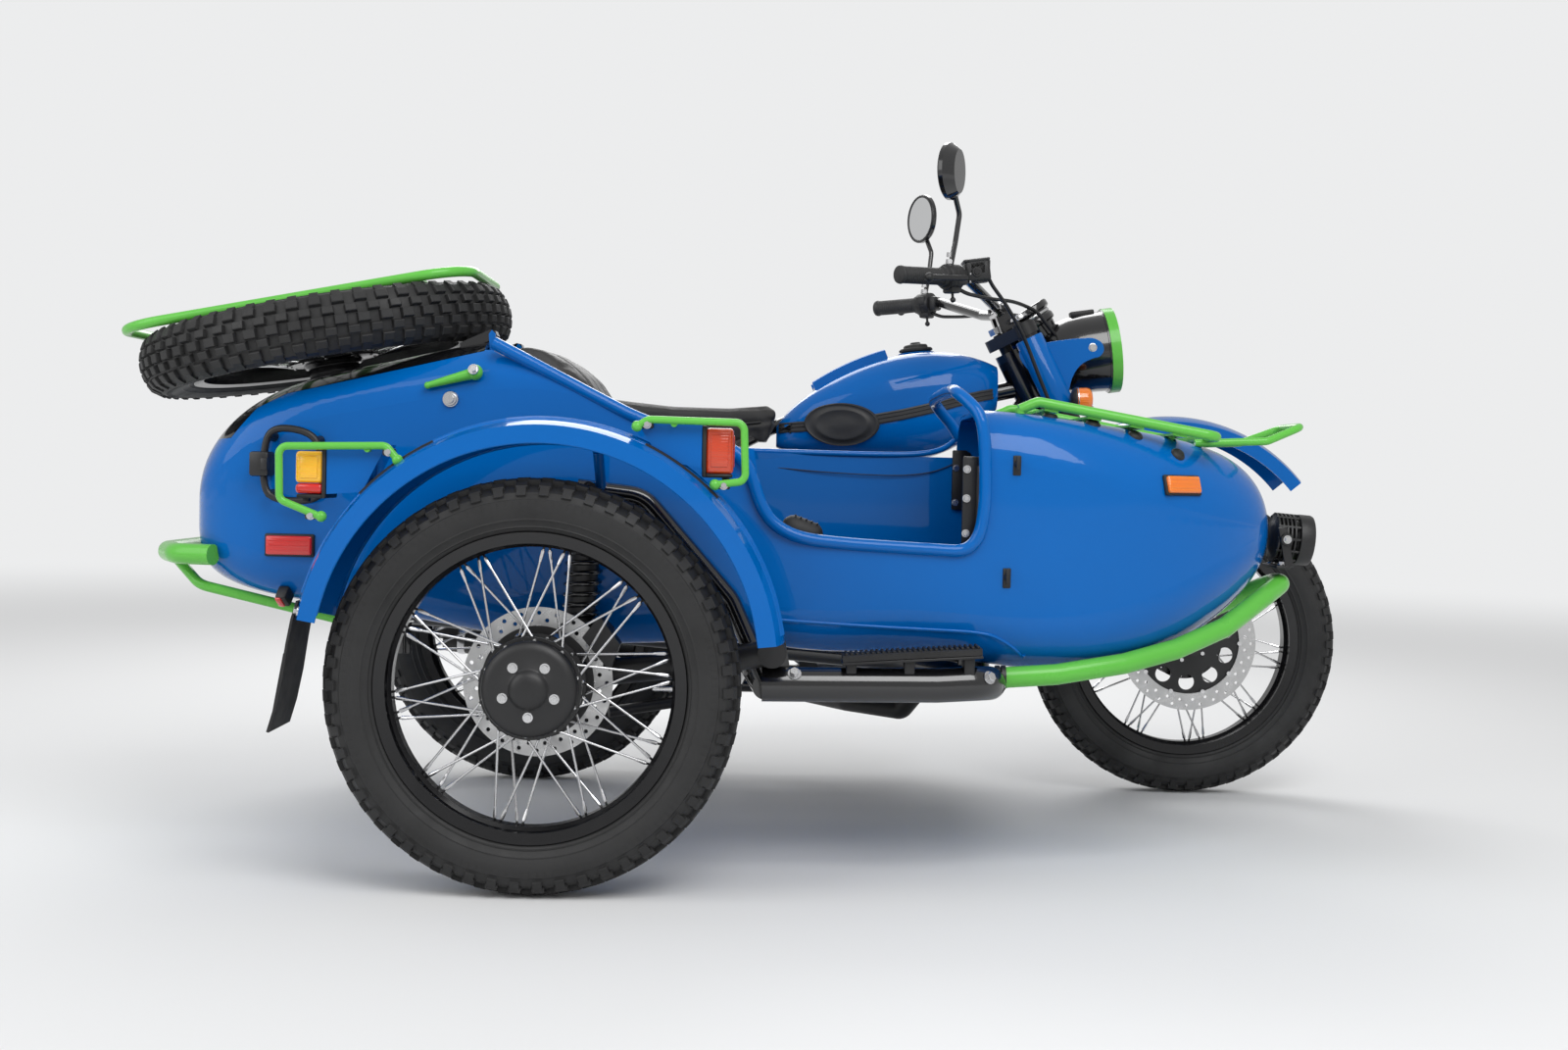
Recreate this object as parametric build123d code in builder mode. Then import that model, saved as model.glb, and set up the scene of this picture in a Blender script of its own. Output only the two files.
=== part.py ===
"""Motorcycle with a sidecar on its right, three wheels on the floor, steering straight ahead.

Lengths are in millimetres. The layout below is written in bike coordinates: X forward from the
rear axle, Y to the left from the bike's centre plane, Z up from the floor. On export every piece
moves by one shift, so that the origin lies on the floor under the middle of the whole vehicle.
"""

from build123d import *
import os
from math import cos, sin, tan, radians

# ---------------------------------------------------------------- driving dimensions
WHEEL_BASE = 1430.0
TRACK = 1140.0                 # bike plane to sidecar wheel plane
WHEEL_LEAD = 140.0             # sidecar wheel ahead of the rear axle
TYRE_RADIUS = 335.0
TYRE_HALF_WIDTH = 52.0
BEAD_RADIUS = 234.0             # seat of the tyre on the rim
RIM_EDGE_RADIUS = 248.0
RIM_HALF_WIDTH = 37.0
RIM_BED_RADIUS = 224.0
HUB_HALF_WIDTH = 45.0
HUB_FLANGE_RADIUS = 82.0
HUB_BARREL_RADIUS = 48.0
AXLE_RADIUS = 10.0
RUNNING_FIT = 0.05             # radial clearance of a shaft that turns in its bore
SPOKE_RADIUS = 2.0
SPOKES_PER_SIDE = 20
DISC_OFFSET = 66.0             # wheel plane to brake disc plane
DISC_THICKNESS = 5.0
DISC_HUB_RADIUS = 50.0
FRONT_DISC_RADIUS = 147.5
REAR_DISC_RADIUS = 128.0
SIDE_DISC_RADIUS = 122.5

RAKE = 27.0                    # steering axis back from upright, degrees
AXIS_BEHIND_AXLE = 82.0        # steering axis behind the front axle, at axle height
STEM_RADIUS = 14.0
HEAD_TUBE_RADIUS = 30.0
HEAD_BOTTOM_Z = 822.0
HEAD_TOP_Z = 960.0
LEG_OFFSET = 40.0              # fork legs ahead of the steering axis
LEG_HALF_TRACK = 100.0
LEG_RADIUS = 22.0
BAR_RADIUS = 11.0

FRAME_TUBE_RADIUS = 16.0
CHASSIS_TUBE_RADIUS = 22.0
SILL_TUBE_RADIUS = 29.0
BUMPER_RADIUS = 18.0
RACK_TUBE_RADIUS = 9.0
GUARD_TUBE_RADIUS = 6.0
RIM_TUBE_RADIUS = 12.0         # tube round the cockpit opening

TUB_MID_Y = -690.0
TUB_WALL = 8.0
BODY_GAP = 0.3                 # what is fixed to the body off its skin
SHEET = 3.0                    # fender sheet
SEAT_GAP = 0.3                 # soft pieces off their seats
LID_GAP = 0.8                  # lid off the trunk edge

SPARE_X = -299.0
SPARE_Z = 906.0
SPARE_TILT = 11.0              # spare wheel and rack slope, front up, degrees

AXLE_Z = TYRE_RADIUS
SIDE_Y = -TRACK

# shift from bike coordinates to the exported frame
MID_X = 566.3
MID_Y = -402.2


def steer_point(z, forward=0.0, y=0.0):
    """Point level with axis height z, moved forward at right angles to the steering axis."""
    x = WHEEL_BASE - AXIS_BEHIND_AXLE - (z - AXLE_Z) * tan(radians(RAKE))
    return (x + forward * cos(radians(RAKE)), y, z + forward * sin(radians(RAKE)))


def tube(points, radius, bend=0.0, mode=Mode.ADD):
    """Round bar through the points, with tangent arcs at its corners, in the open part."""
    with BuildLine() as route:
        if len(points) > 2:
            FilletPolyline(*points, radius=bend)
        else:
            Line(*points)
    with BuildSketch(Plane(origin=route.line @ 0, z_dir=route.line % 0)) as section:
        Circle(radius)
    sweep(section.sketch, path=route.line, mode=mode)


def cable(points, radius):
    """Cable through the points in the open part, each bend as wide as its two runs allow."""
    spots = [Vector(*point) for point in points]
    runs = [end - start for start, end in zip(spots, spots[1:])]
    bends = [0.45 * min(a.length, b.length) / tan(radians(a.get_angle(b) / 2)) for a, b in zip(runs, runs[1:])]
    with BuildLine() as route:
        FilletPolyline(*points, radius=bends)
    with BuildSketch(Plane(origin=route.line @ 0, z_dir=route.line % 0)) as section:
        Circle(radius)
    sweep(section.sketch, path=route.line)


def across(x, z, radius, y_from, y_to, mode=Mode.ADD):
    """Round bar along Y, in the open part."""
    tube([(x, y_from, z), (x, y_to, z)], radius, mode=mode)


def slab(outline, y_from, y_to, mode=Mode.ADD):
    """Side view outline of (x, z) corners, extruded from y_from down to y_to, in the open part."""
    with BuildSketch(Plane.XZ.offset(-y_from)) as section:
        with BuildLine():
            Polyline(*outline, close=True)
        make_face()
    extrude(section.sketch, amount=y_from - y_to, mode=mode)


def mirrored(points):
    """The same points on the other side of the bike's centre plane."""
    return [(x, -y, z) for x, y, z in points]


def arch(x, y, z, crown, half_width, depth, start, end):
    """Wheel arch in the open part: a curved sheet round a Y axis, from start to end degrees."""
    shoulder = crown - depth / 3
    out = Vector(cos(radians(start)), 0, sin(radians(start)))
    plane = Plane(origin=(x, y, z), x_dir=out, z_dir=(-out.Z, 0, out.X))
    with BuildSketch(plane) as section:
        with BuildLine():
            Line((crown - depth, half_width), (shoulder, half_width))
            ThreePointArc((shoulder, half_width), (crown, 0), (shoulder, -half_width))
            Line((shoulder, -half_width), (crown - depth, -half_width))
            Line((crown - depth, -half_width), (crown - depth, SHEET - half_width))
            Line((crown - depth, SHEET - half_width), (shoulder, SHEET - half_width))
            ThreePointArc((shoulder, SHEET - half_width), (crown - SHEET, 0),
                          (shoulder, half_width - SHEET))
            Line((shoulder, half_width - SHEET), (crown - depth, half_width - SHEET))
            Line((crown - depth, half_width - SHEET), (crown - depth, half_width))
        make_face()
    revolve(section.sketch, axis=Axis((x, y, z), (0, -1, 0)), revolution_arc=end - start)


# ---------------------------------------------------------------- wheels, made once about the origin
# section corners of tyre and rim: radius, distance from the wheel plane
SIDEWALL_BULGE = (290.0, TYRE_HALF_WIDTH)
SHOULDER = (319.0, 47.0)
with BuildPart() as tyre:
    with BuildSketch(Plane.XY):
        with BuildLine():
            Polyline((RIM_EDGE_RADIUS + 1, -RIM_HALF_WIDTH + 1), (BEAD_RADIUS, -RIM_HALF_WIDTH + 4),
                     (BEAD_RADIUS, RIM_HALF_WIDTH - 4), (RIM_EDGE_RADIUS + 1, RIM_HALF_WIDTH - 1))
            ThreePointArc((RIM_EDGE_RADIUS + 1, RIM_HALF_WIDTH - 1), SIDEWALL_BULGE, SHOULDER)
            ThreePointArc(SHOULDER, (TYRE_RADIUS, 0), (SHOULDER[0], -SHOULDER[1]))
            ThreePointArc((SHOULDER[0], -SHOULDER[1]), (SIDEWALL_BULGE[0], -SIDEWALL_BULGE[1]),
                          (RIM_EDGE_RADIUS + 1, -RIM_HALF_WIDTH + 1))
        make_face()
    revolve(axis=Axis.Y)

RIM_SHEET = 4.0
with BuildPart() as rim:
    with BuildSketch(Plane.XY):
        with BuildLine():
            Polyline((RIM_EDGE_RADIUS, -RIM_HALF_WIDTH), (BEAD_RADIUS, -34), (BEAD_RADIUS, -16),
                     (RIM_BED_RADIUS + RIM_SHEET, -10), (RIM_BED_RADIUS + RIM_SHEET, 10),
                     (BEAD_RADIUS, 16), (BEAD_RADIUS, 34), (RIM_EDGE_RADIUS, RIM_HALF_WIDTH),
                     (RIM_EDGE_RADIUS, RIM_HALF_WIDTH + RIM_SHEET), (BEAD_RADIUS - RIM_SHEET, 38),
                     (BEAD_RADIUS - RIM_SHEET, 18), (RIM_BED_RADIUS, 12), (RIM_BED_RADIUS, -12),
                     (BEAD_RADIUS - RIM_SHEET, -18), (BEAD_RADIUS - RIM_SHEET, -38),
                     (RIM_EDGE_RADIUS, -RIM_HALF_WIDTH - RIM_SHEET), close=True)
        make_face()
    revolve(axis=Axis.Y)
    with BuildSketch(Plane.XY):
        with BuildLine():
            Polyline((0, -HUB_HALF_WIDTH), (DISC_HUB_RADIUS, -HUB_HALF_WIDTH),
                     (DISC_HUB_RADIUS + 4, -38), (HUB_FLANGE_RADIUS, -36), (HUB_FLANGE_RADIUS, -30),
                     (HUB_BARREL_RADIUS, -22), (HUB_BARREL_RADIUS, 22), (HUB_FLANGE_RADIUS, 30),
                     (HUB_FLANGE_RADIUS, 36), (DISC_HUB_RADIUS + 4, 38),
                     (DISC_HUB_RADIUS, HUB_HALF_WIDTH), (0, HUB_HALF_WIDTH), close=True)
        make_face()
    revolve(axis=Axis.Y)
    step = 360.0 / SPOKES_PER_SIDE
    for side in (-1, 1):
        for index in range(SPOKES_PER_SIDE):
            lean = 26.0 if index % 2 else -26.0
            at_hub = radians(index * step + side * step / 4)
            at_rim = at_hub + radians(lean)
            tube([(76 * cos(at_hub), side * (31.5 + (index % 2) * 3), 76 * sin(at_hub)),
                  (226 * cos(at_rim), side * 5, 226 * sin(at_rim))], SPOKE_RADIUS)
    Cylinder(AXLE_RADIUS + RUNNING_FIT, 2 * HUB_HALF_WIDTH + 2, rotation=(90, 0, 0), mode=Mode.SUBTRACT)


with BuildPart() as hub_cap:
    with BuildSketch(Plane.XY):
        with BuildLine():
            Polyline((0, -HUB_HALF_WIDTH), (0, -71), (12, -71), (24, -68), (31, -61), (34, -59), (66, -57),
                     (74, -53), (77, -48), (77, -HUB_HALF_WIDTH), close=True)
        make_face()
    revolve(axis=Axis.Y)
    Cylinder(AXLE_RADIUS + 6, 2 * (HUB_HALF_WIDTH + 8), rotation=(90, 0, 0), mode=Mode.SUBTRACT)

# disc name, outer radius
DISCS = {"front": FRONT_DISC_RADIUS, "rear": REAR_DISC_RADIUS, "side": SIDE_DISC_RADIUS}
discs = {}
for name, outer in DISCS.items():
    with BuildPart() as disc:
        with BuildSketch(Plane.XY):
            with BuildLine():
                Polyline((AXLE_RADIUS + 6, HUB_HALF_WIDTH), (DISC_HUB_RADIUS, HUB_HALF_WIDTH),
                         (DISC_HUB_RADIUS, DISC_OFFSET - DISC_THICKNESS / 2),
                         (outer, DISC_OFFSET - DISC_THICKNESS / 2), (outer, DISC_OFFSET + DISC_THICKNESS / 2),
                         (AXLE_RADIUS + 6, DISC_OFFSET + DISC_THICKNESS / 2), close=True)
            make_face()
        revolve(axis=Axis.Y)
    discs[name] = disc

# ---------------------------------------------------------------- fork and all that steers
LEG_TOP_Z = 985.0              # axis height of the top yoke
YOKE_LOW_Z = 800.0             # axis height of the bottom yoke
LINK_PIVOT = (1290.0, 300.0)
LINK_RADIUS = 15.0
SHOCK_TOP = (1222.0, 792.0)
SHOCK_FOOT = (1418.0, 352.0)
YOKE_THICKNESS = 26.0
CLAMP_WALL = 5.0               # yoke round a fork leg
STEM_WALL = 22.0               # yoke round the stem


def yoke(z):
    """Plate at right angles to the steering axis that joins both legs to the stem, narrow behind them."""
    middle = Plane(origin=steer_point(z, LEG_OFFSET / 2), x_dir=(cos(radians(RAKE)), 0, sin(radians(RAKE))),
                   z_dir=(-sin(radians(RAKE)), 0, cos(radians(RAKE))))
    with BuildSketch(middle.offset(-YOKE_THICKNESS / 2)) as plate:
        with Locations((LEG_OFFSET / 2, -LEG_HALF_TRACK), (LEG_OFFSET / 2, LEG_HALF_TRACK)):
            Circle(LEG_RADIUS + CLAMP_WALL)
        with Locations((-LEG_OFFSET / 2, 0)):
            Circle(STEM_RADIUS + STEM_WALL)
        make_hull()
    extrude(plate.sketch, amount=YOKE_THICKNESS)


with BuildPart() as fork:
    tube([steer_point(YOKE_LOW_Z), steer_point(LEG_TOP_Z + 15)], STEM_RADIUS)
    yoke(YOKE_LOW_Z)
    yoke(LEG_TOP_Z)
    for side in (-1, 1):
        y = side * LEG_HALF_TRACK
        tube([steer_point(LEG_TOP_Z + 15, LEG_OFFSET, y), steer_point(580, LEG_OFFSET, y),
              (LINK_PIVOT[0], y, LINK_PIVOT[1])], LEG_RADIUS, 90)
        across(*LINK_PIVOT, 25, y - side * 19, y + side * 23)
        tube([(SHOCK_TOP[0], y, SHOCK_TOP[1]), steer_point(700, LEG_OFFSET, y)], 12)

BOSS_INNER = DISC_OFFSET + 7.0     # wheel plane to the inner end of an axle boss
DISC_GAP = 1.0                     # each side of a disc in its caliper
GROOVE_DEPTH = 76.0


def groove(x, y, disc_radius):
    """Cut in a caliper for the disc at y, a ring that stops short of the axle."""
    with BuildSketch(Plane.XZ.offset(-y - DISC_THICKNESS / 2 - DISC_GAP)) as ring:
        with Locations((x, AXLE_Z)):
            Circle(disc_radius + 5 * DISC_GAP)
            Circle(disc_radius - GROOVE_DEPTH, mode=Mode.SUBTRACT)
    extrude(ring.sketch, amount=DISC_THICKNESS + 2 * DISC_GAP, mode=Mode.SUBTRACT)


with BuildPart() as fork_links:
    for side in (-1, 1):
        y = side * LEG_HALF_TRACK
        low = Vector(SHOCK_FOOT[0], y, SHOCK_FOOT[1])
        high = Vector(SHOCK_TOP[0], y, SHOCK_TOP[1])
        tube([(LINK_PIVOT[0], y, LINK_PIVOT[1]), (WHEEL_BASE, y, AXLE_Z)], LINK_RADIUS)
        tube([low, high], 9)
        tube([low + (high - low) * 0.22, low + (high - low) * 0.94], 23)
        across(*SHOCK_TOP, 13, y - 15, y + 15)
        across(WHEEL_BASE, AXLE_Z, 24, side * BOSS_INNER, side * (LEG_HALF_TRACK + 19))
    across(WHEEL_BASE, AXLE_Z, AXLE_RADIUS, -LEG_HALF_TRACK - 26, LEG_HALF_TRACK + 26)
    # brake caliper astride the disc, carried by the right link
    with BuildSketch(Plane.XZ.offset(LEG_HALF_TRACK - 8)):
        with Locations((1318, 398)):
            RectangleRounded(50, 92, 16, rotation=24)
        with Locations((1324, 350)):
            RectangleRounded(34, 70, 10, rotation=24)
    extrude(amount=-52)
    groove(WHEEL_BASE, -DISC_OFFSET, FRONT_DISC_RADIUS)
    add(fork.part, mode=Mode.SUBTRACT)

with BuildPart() as fork_covers:
    for side in (-1, 1):
        y = side * LEG_HALF_TRACK
        tube([steer_point(YOKE_LOW_Z + 16, LEG_OFFSET, y), steer_point(LEG_TOP_Z - 17, LEG_OFFSET, y)],
             LEG_RADIUS + 8)
        slab([(1085, 893), (1066, 952), (1118, 986), (1206, 980), (1214, 962), (1212, 918),
              (1154, 846), (1128, 848)], y + 4, y - 4)
        tube([steer_point(YOKE_LOW_Z - 30, LEG_OFFSET, y), steer_point(LEG_TOP_Z + 30, LEG_OFFSET, y)],
             LEG_RADIUS, mode=Mode.SUBTRACT)

FRONT_ARCH = (1392.0, 458.0, 370.0)    # x and z of its centre, crown radius
with BuildPart() as front_fender:
    # hanger down from the bottom yoke
    slab([(1128, 722), (1178, 750), (1176, 832), (1122, 806)], 30, -30)
    across(FRONT_ARCH[0], FRONT_ARCH[1], FRONT_ARCH[2] - SHEET, -60, 60, mode=Mode.SUBTRACT)
    add(fork.part, mode=Mode.SUBTRACT)
    arch(FRONT_ARCH[0], 0, FRONT_ARCH[1], FRONT_ARCH[2], 74, 42, 40, 133)

# handlebar: grip end, bends and clamp on the right side; the left side mirrors it
GRIP_END = (763.0, -387.0, 1085.0)
BAR_BEND = (905.0, -285.0, 1092.0)
BAR_RISE = (985.0, -115.0, 1050.0)
BAR_CLAMP = (1003.0, -50.0, 1044.0)
RISER_HALF = 13.0
right_bar = [GRIP_END, BAR_BEND, BAR_RISE, BAR_CLAMP]
with BuildPart() as handlebar:
    tube(right_bar + mirrored(right_bar)[::-1], BAR_RADIUS, 28)
    for side in (-1, 1):
        slab([(988, 1056), (1012, 1060), (1050, 1022), (1042, 990), (1014, 990), (1000, 1024)],
             side * 40 + RISER_HALF, side * 40 - RISER_HALF)
    add(fork.part, mode=Mode.SUBTRACT)

GRIP_RADIUS = 16.5
with BuildPart() as controls:
    for side in (-1, 1):
        start = Vector(GRIP_END[0], side * abs(GRIP_END[1]), GRIP_END[2])
        run = (Vector(BAR_BEND[0], side * abs(BAR_BEND[1]), BAR_BEND[2]) - start).normalized()
        tube([start - run * 4, start + run * 118], GRIP_RADIUS)
        tube([start + run * 118, start + run * 150], 23)
        root = start + run * 134
        tube([root, root + Vector(36, side * 12, -2), root - run * 118 + Vector(44, side * 24, -6)], 6, 8)
        tube([start, start + run * 300], BAR_RADIUS, mode=Mode.SUBTRACT)
    # brake fluid reservoir on the right bar
    with BuildSketch(Plane((928, -268, 1103))):
        RectangleRounded(52, 56, 12)
    extrude(amount=26)

MIRROR_HEAD = (858.0, 352.0, 1297.0)
MIRROR_YAW = 25.0
MIRROR_DEPTH = 24.0
with BuildPart() as mirrors:
    for side in (-1, 1):
        head = Vector(MIRROR_HEAD[0], side * MIRROR_HEAD[1], MIRROR_HEAD[2])
        tube([(868, side * 314, 1101), (878, side * 318, 1160), (884, side * 330, 1215),
              head + Vector(12, 0, -40)], 5.5, 30)
        look = (-cos(radians(MIRROR_YAW)), -side * sin(radians(MIRROR_YAW)), 0)
        facing = Plane(origin=head, x_dir=(0, 0, 1), z_dir=look)
        with BuildSketch(facing.offset(-MIRROR_DEPTH)) as back:
            Ellipse(44, 34)
        with BuildSketch(facing.offset(-8)) as front:
            Ellipse(57, 62)
        loft([back.sketch, front.sketch])
        extrude(front.sketch, amount=8)
    add(handlebar.part, mode=Mode.SUBTRACT)
    add(controls.part, mode=Mode.SUBTRACT)

LAMP = (1243.0, 0.0, 968.0)    # centre of the headlamp's front face
LAMP_RADIUS = 88.0
LAMP_TILT = 8.0
LAMP_RIM_DEPTH = 22.0
lamp_face = Plane(origin=LAMP, z_dir=(cos(radians(LAMP_TILT)), 0, sin(radians(LAMP_TILT))))
with BuildPart() as headlamp:
    with BuildSketch(lamp_face) as rim_face:
        Circle(LAMP_RADIUS)
    with BuildSketch(lamp_face.offset(-70)) as shell_face:
        Circle(LAMP_RADIUS - 4)
    with BuildSketch(lamp_face.offset(-125)) as back_face:
        Circle(LAMP_RADIUS - 48)
    loft([rim_face.sketch, shell_face.sketch, back_face.sketch])
    # speedometer pod above the shell, on its neck
    tube([(1100, 0, 1005), (1066, 0, 1056)], 40)
    tube([(1150, 0, 985), (1102, 0, 1005)], 20)
    across(1202, LAMP[2], 8, -LEG_HALF_TRACK + 4, LEG_HALF_TRACK - 4)
    add(fork.part, mode=Mode.SUBTRACT)

with BuildPart() as headlamp_rim:
    with BuildSketch(lamp_face):
        Circle(LAMP_RADIUS + 5)
        Circle(LAMP_RADIUS - 7, mode=Mode.SUBTRACT)
    extrude(amount=LAMP_RIM_DEPTH)

with BuildPart() as headlamp_lens:
    with BuildSketch(lamp_face) as seat:
        Circle(LAMP_RADIUS - 7)
    with BuildSketch(lamp_face.offset(LAMP_RIM_DEPTH)) as dome:
        Circle(LAMP_RADIUS - 30)
    loft([seat.sketch, dome.sketch])

CABLE_RADIUS = 4.0
with BuildPart() as cables:
    # brake hose from the reservoir down the right leg to the caliper
    cable([(950, -262, 1103), (962, -254, 1082), (1000, -200, 1046), (1044, -156, 985), (1096, -144, 862),
           (1172, -138, 710), (1232, -136, 585), (1294, -130, 500), (1320, -114, 458), (1326, -101, 430)],
          CABLE_RADIUS)
    across(1325, 425, 8, -110, -92)
    # a loom from each switch into the back of the headlamp
    for side in (-1, 1):
        cable([(880, side * 303, 1072), (906, side * 287, 1060), (960, side * 226, 1056), (1024, side * 140, 1060),
               (1082, side * 74, 1046), (1114, side * 53, 1010), (1146, side * 44, 976)], CABLE_RADIUS)
    add(headlamp.part, mode=Mode.SUBTRACT)
    add(controls.part, mode=Mode.SUBTRACT)
    add(fork_links.part, mode=Mode.SUBTRACT)

with BuildPart() as turn_lamps:
    for side in (-1, 1):
        across(1168, 852, 9, side * (LEG_HALF_TRACK - 4), side * 130)
        across(1168, 852, 30, side * 128, side * 176)
    add(fork_covers.part, mode=Mode.SUBTRACT)
    add(fork.part, mode=Mode.SUBTRACT)

# ---------------------------------------------------------------- bike frame, engine and drive
HEAD_BOLT_Z = 885.0
RAIL_HALF = 145.0              # cradle rails from the centre plane
RAIL_Z = 232.0
SEAT_RAIL_HALF = 95.0
SEAT_RAIL_Z = 738.0
PIVOT = (378.0, 330.0)         # x and z of the swingarm pivot
STAND_PIVOT = (400.0, 198.0)
STAND_PIN_RADIUS = 8.0
LUG_HALF = 12.0
with BuildPart() as frame_tubes:
    tube([steer_point(HEAD_BOTTOM_Z), steer_point(HEAD_TOP_Z)], HEAD_TUBE_RADIUS)
    tube([steer_point(HEAD_BOLT_Z), (900, 0, 846), (560, 0, 806)], 19, 80)
    for side in (-1, 1):
        tube([steer_point(HEAD_BOTTOM_Z + 44), (1000, side * 46, 765), (985, side * 110, 560),
              (960, side * RAIL_HALF, 330), (925, side * RAIL_HALF, RAIL_Z), (430, side * RAIL_HALF, RAIL_Z),
              (PIVOT[0], side * RAIL_HALF, PIVOT[1]), (290, side * 118, 560),
              (205, side * SEAT_RAIL_HALF, SEAT_RAIL_Z)], FRAME_TUBE_RADIUS, 42)
        tube([(562, 0, 806), (430, side * SEAT_RAIL_HALF, SEAT_RAIL_Z), (205, side * SEAT_RAIL_HALF, SEAT_RAIL_Z),
              (-95, side * SEAT_RAIL_HALF, SEAT_RAIL_Z + 4)], FRAME_TUBE_RADIUS - 3, 20)
    across(430, RAIL_Z, 12, -RAIL_HALF, RAIL_HALF)
    across(820, RAIL_Z, 12, -RAIL_HALF, RAIL_HALF)
    across(90, SEAT_RAIL_Z, 10, -SEAT_RAIL_HALF, SEAT_RAIL_HALF)
    # lugs that carry the centre stand's pins
    for side in (-1, 1):
        slab([(392, 244), (440, 240), (440, 222), (414, 184), (388, 184), (384, 222)],
             side * 128 + LUG_HALF, side * 128 - LUG_HALF)
    across(*STAND_PIVOT, STAND_PIN_RADIUS + RUNNING_FIT, -RAIL_HALF, RAIL_HALF, mode=Mode.SUBTRACT)
    tube([steer_point(HEAD_BOTTOM_Z - 30), steer_point(HEAD_TOP_Z + 30)], STEM_RADIUS + RUNNING_FIT,
         mode=Mode.SUBTRACT)

PEG_X = 600.0
with BuildPart() as footrests:
    for side in (-1, 1):
        plate = side * (RAIL_HALF + 11)
        slab([(PEG_X - 14, RAIL_Z - 6), (PEG_X + 14, RAIL_Z - 6), (PEG_X + 12, 298), (PEG_X - 12, 298)],
             plate + 6, plate - 6)
        across(PEG_X, 285, 12, plate, side * 250)
        # brake pedal on the right, gear lever on the left
        tube([(PEG_X, side * 160, 262), (700, side * 172, 256), (752, side * 178, 266), (756, side * 222, 268)], 7, 12)
    add(frame_tubes.part, mode=Mode.SUBTRACT)

CRANK = (745.0, 415.0)         # x and z of the crankshaft
CASE_HALF = 118.0
HEAD_BASE = 236.0
HEAD_TOP = 318.0
COVER_TOP = 360.0
with BuildPart() as engine:
    slab([(600, 262), (900, 262), (938, 330), (938, 480), (880, 545), (610, 560), (540, 520), (420, 430),
          (400, 330), (430, 290), (560, 290)], CASE_HALF, -CASE_HALF)
    fillet(engine.edges().filter_by(Axis.Y), 12)
    # air cleaner over the gearbox
    slab([(430, 430), (545, 500), (560, 700), (440, 715), (380, 560)], 70, -70)

FIN_PITCH = 12.0
with BuildPart() as cylinders:
    for side in (-1, 1):
        across(*CRANK, 52, side * CASE_HALF, side * HEAD_BASE)
        fins = int((HEAD_BASE - CASE_HALF - 10) / FIN_PITCH)
        for index in range(fins):
            y = CASE_HALF + 12 + index * FIN_PITCH
            across(*CRANK, 74, side * y, side * (y + 4))
        with BuildSketch(Plane.XZ.offset(-side * HEAD_BASE)) as head:
            with Locations(CRANK):
                RectangleRounded(170, 150, 24)
        extrude(head.sketch, amount=-side * (HEAD_TOP - HEAD_BASE))
        with BuildSketch(Plane.XZ.offset(-side * HEAD_TOP)) as cover:
            with Locations(CRANK):
                RectangleRounded(150, 124, 40)
        extrude(cover.sketch, amount=-side * (COVER_TOP - HEAD_TOP), taper=12)
        # inlet stub and throttle body back to the air cleaner
        tube([(CRANK[0] - 70, side * 276, CRANK[1] + 50), (590, side * 250, 520), (505, side * 100, 600),
              (470, side * 70, 610)], 24, 40)
    add(engine.part, mode=Mode.SUBTRACT)

HEADER = ((829, 276, 395), (858, 276, 372), (846, 262, 262))
with BuildPart() as exhaust:
    right = mirrored(HEADER) + [(800, -200, 190), (690, -60, 188), (560, 160, 188), (430, 210, 214)]
    left = list(HEADER) + [(790, 216, 200), (560, 206, 200), (430, 210, 214)]
    tube(right, 19, 30)
    tube(left, 19, 30)
    tube([(430, 210, 214), (360, 210, 226)], 30)
    tube([(360, 210, 226), (-230, 214, 300)], 44)
    tube([(-230, 214, 300), (-275, 214, 306)], 18)
    tube([(330, 212, 240), (PIVOT[0], RAIL_HALF, PIVOT[1] - 30)], 8)
    add(cylinders.part, mode=Mode.SUBTRACT)
    add(frame_tubes.part, mode=Mode.SUBTRACT)

FINAL_RADIUS = 92.0
ARM_HALF = 104.0
with BuildPart() as final_drive:
    across(*PIVOT, 13, -RAIL_HALF, RAIL_HALF)
    for side in (-1, 1):
        tube([(PIVOT[0], side * ARM_HALF, PIVOT[1]), (0, side * ARM_HALF, AXLE_Z)], 22)
    across(0, AXLE_Z, FINAL_RADIUS, -BOSS_INNER + 18, -150)
    across(0, AXLE_Z, 26, BOSS_INNER, ARM_HALF + 20)
    across(0, AXLE_Z, AXLE_RADIUS, -BOSS_INNER + 10, ARM_HALF + 26)
    # prop shaft from the gearbox, and the shaft to the sidecar wheel
    tube([(430, -ARM_HALF, PIVOT[1] + 2), (0, -ARM_HALF, AXLE_Z)], 27)
    # rear caliper astride the left disc
    slab([(52, 398), (100, 436), (138, 408), (140, 362), (96, 345)], 92, 48)
    groove(0, DISC_OFFSET, REAR_DISC_RADIUS)
    add(engine.part, mode=Mode.SUBTRACT)
    add(frame_tubes.part, mode=Mode.SUBTRACT)

SHOCK_LOW = (42.0, 352.0)
SHOCK_HIGH = (62.0, 722.0)
with BuildPart() as rear_shocks:
    for side in (-1, 1):
        y = side * 138
        across(*SHOCK_HIGH, 11, side * (SEAT_RAIL_HALF + 8), side * 150)
        across(*SHOCK_LOW, 11, side * (ARM_HALF + 4), side * 150)
        low = Vector(SHOCK_LOW[0], y, SHOCK_LOW[1])
        high = Vector(SHOCK_HIGH[0], y, SHOCK_HIGH[1])
        tube([low, high], 10)
        tube([low + (high - low) * 0.24, low + (high - low) * 0.93], 28)
    add(final_drive.part, mode=Mode.SUBTRACT)
    add(frame_tubes.part, mode=Mode.SUBTRACT)

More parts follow.
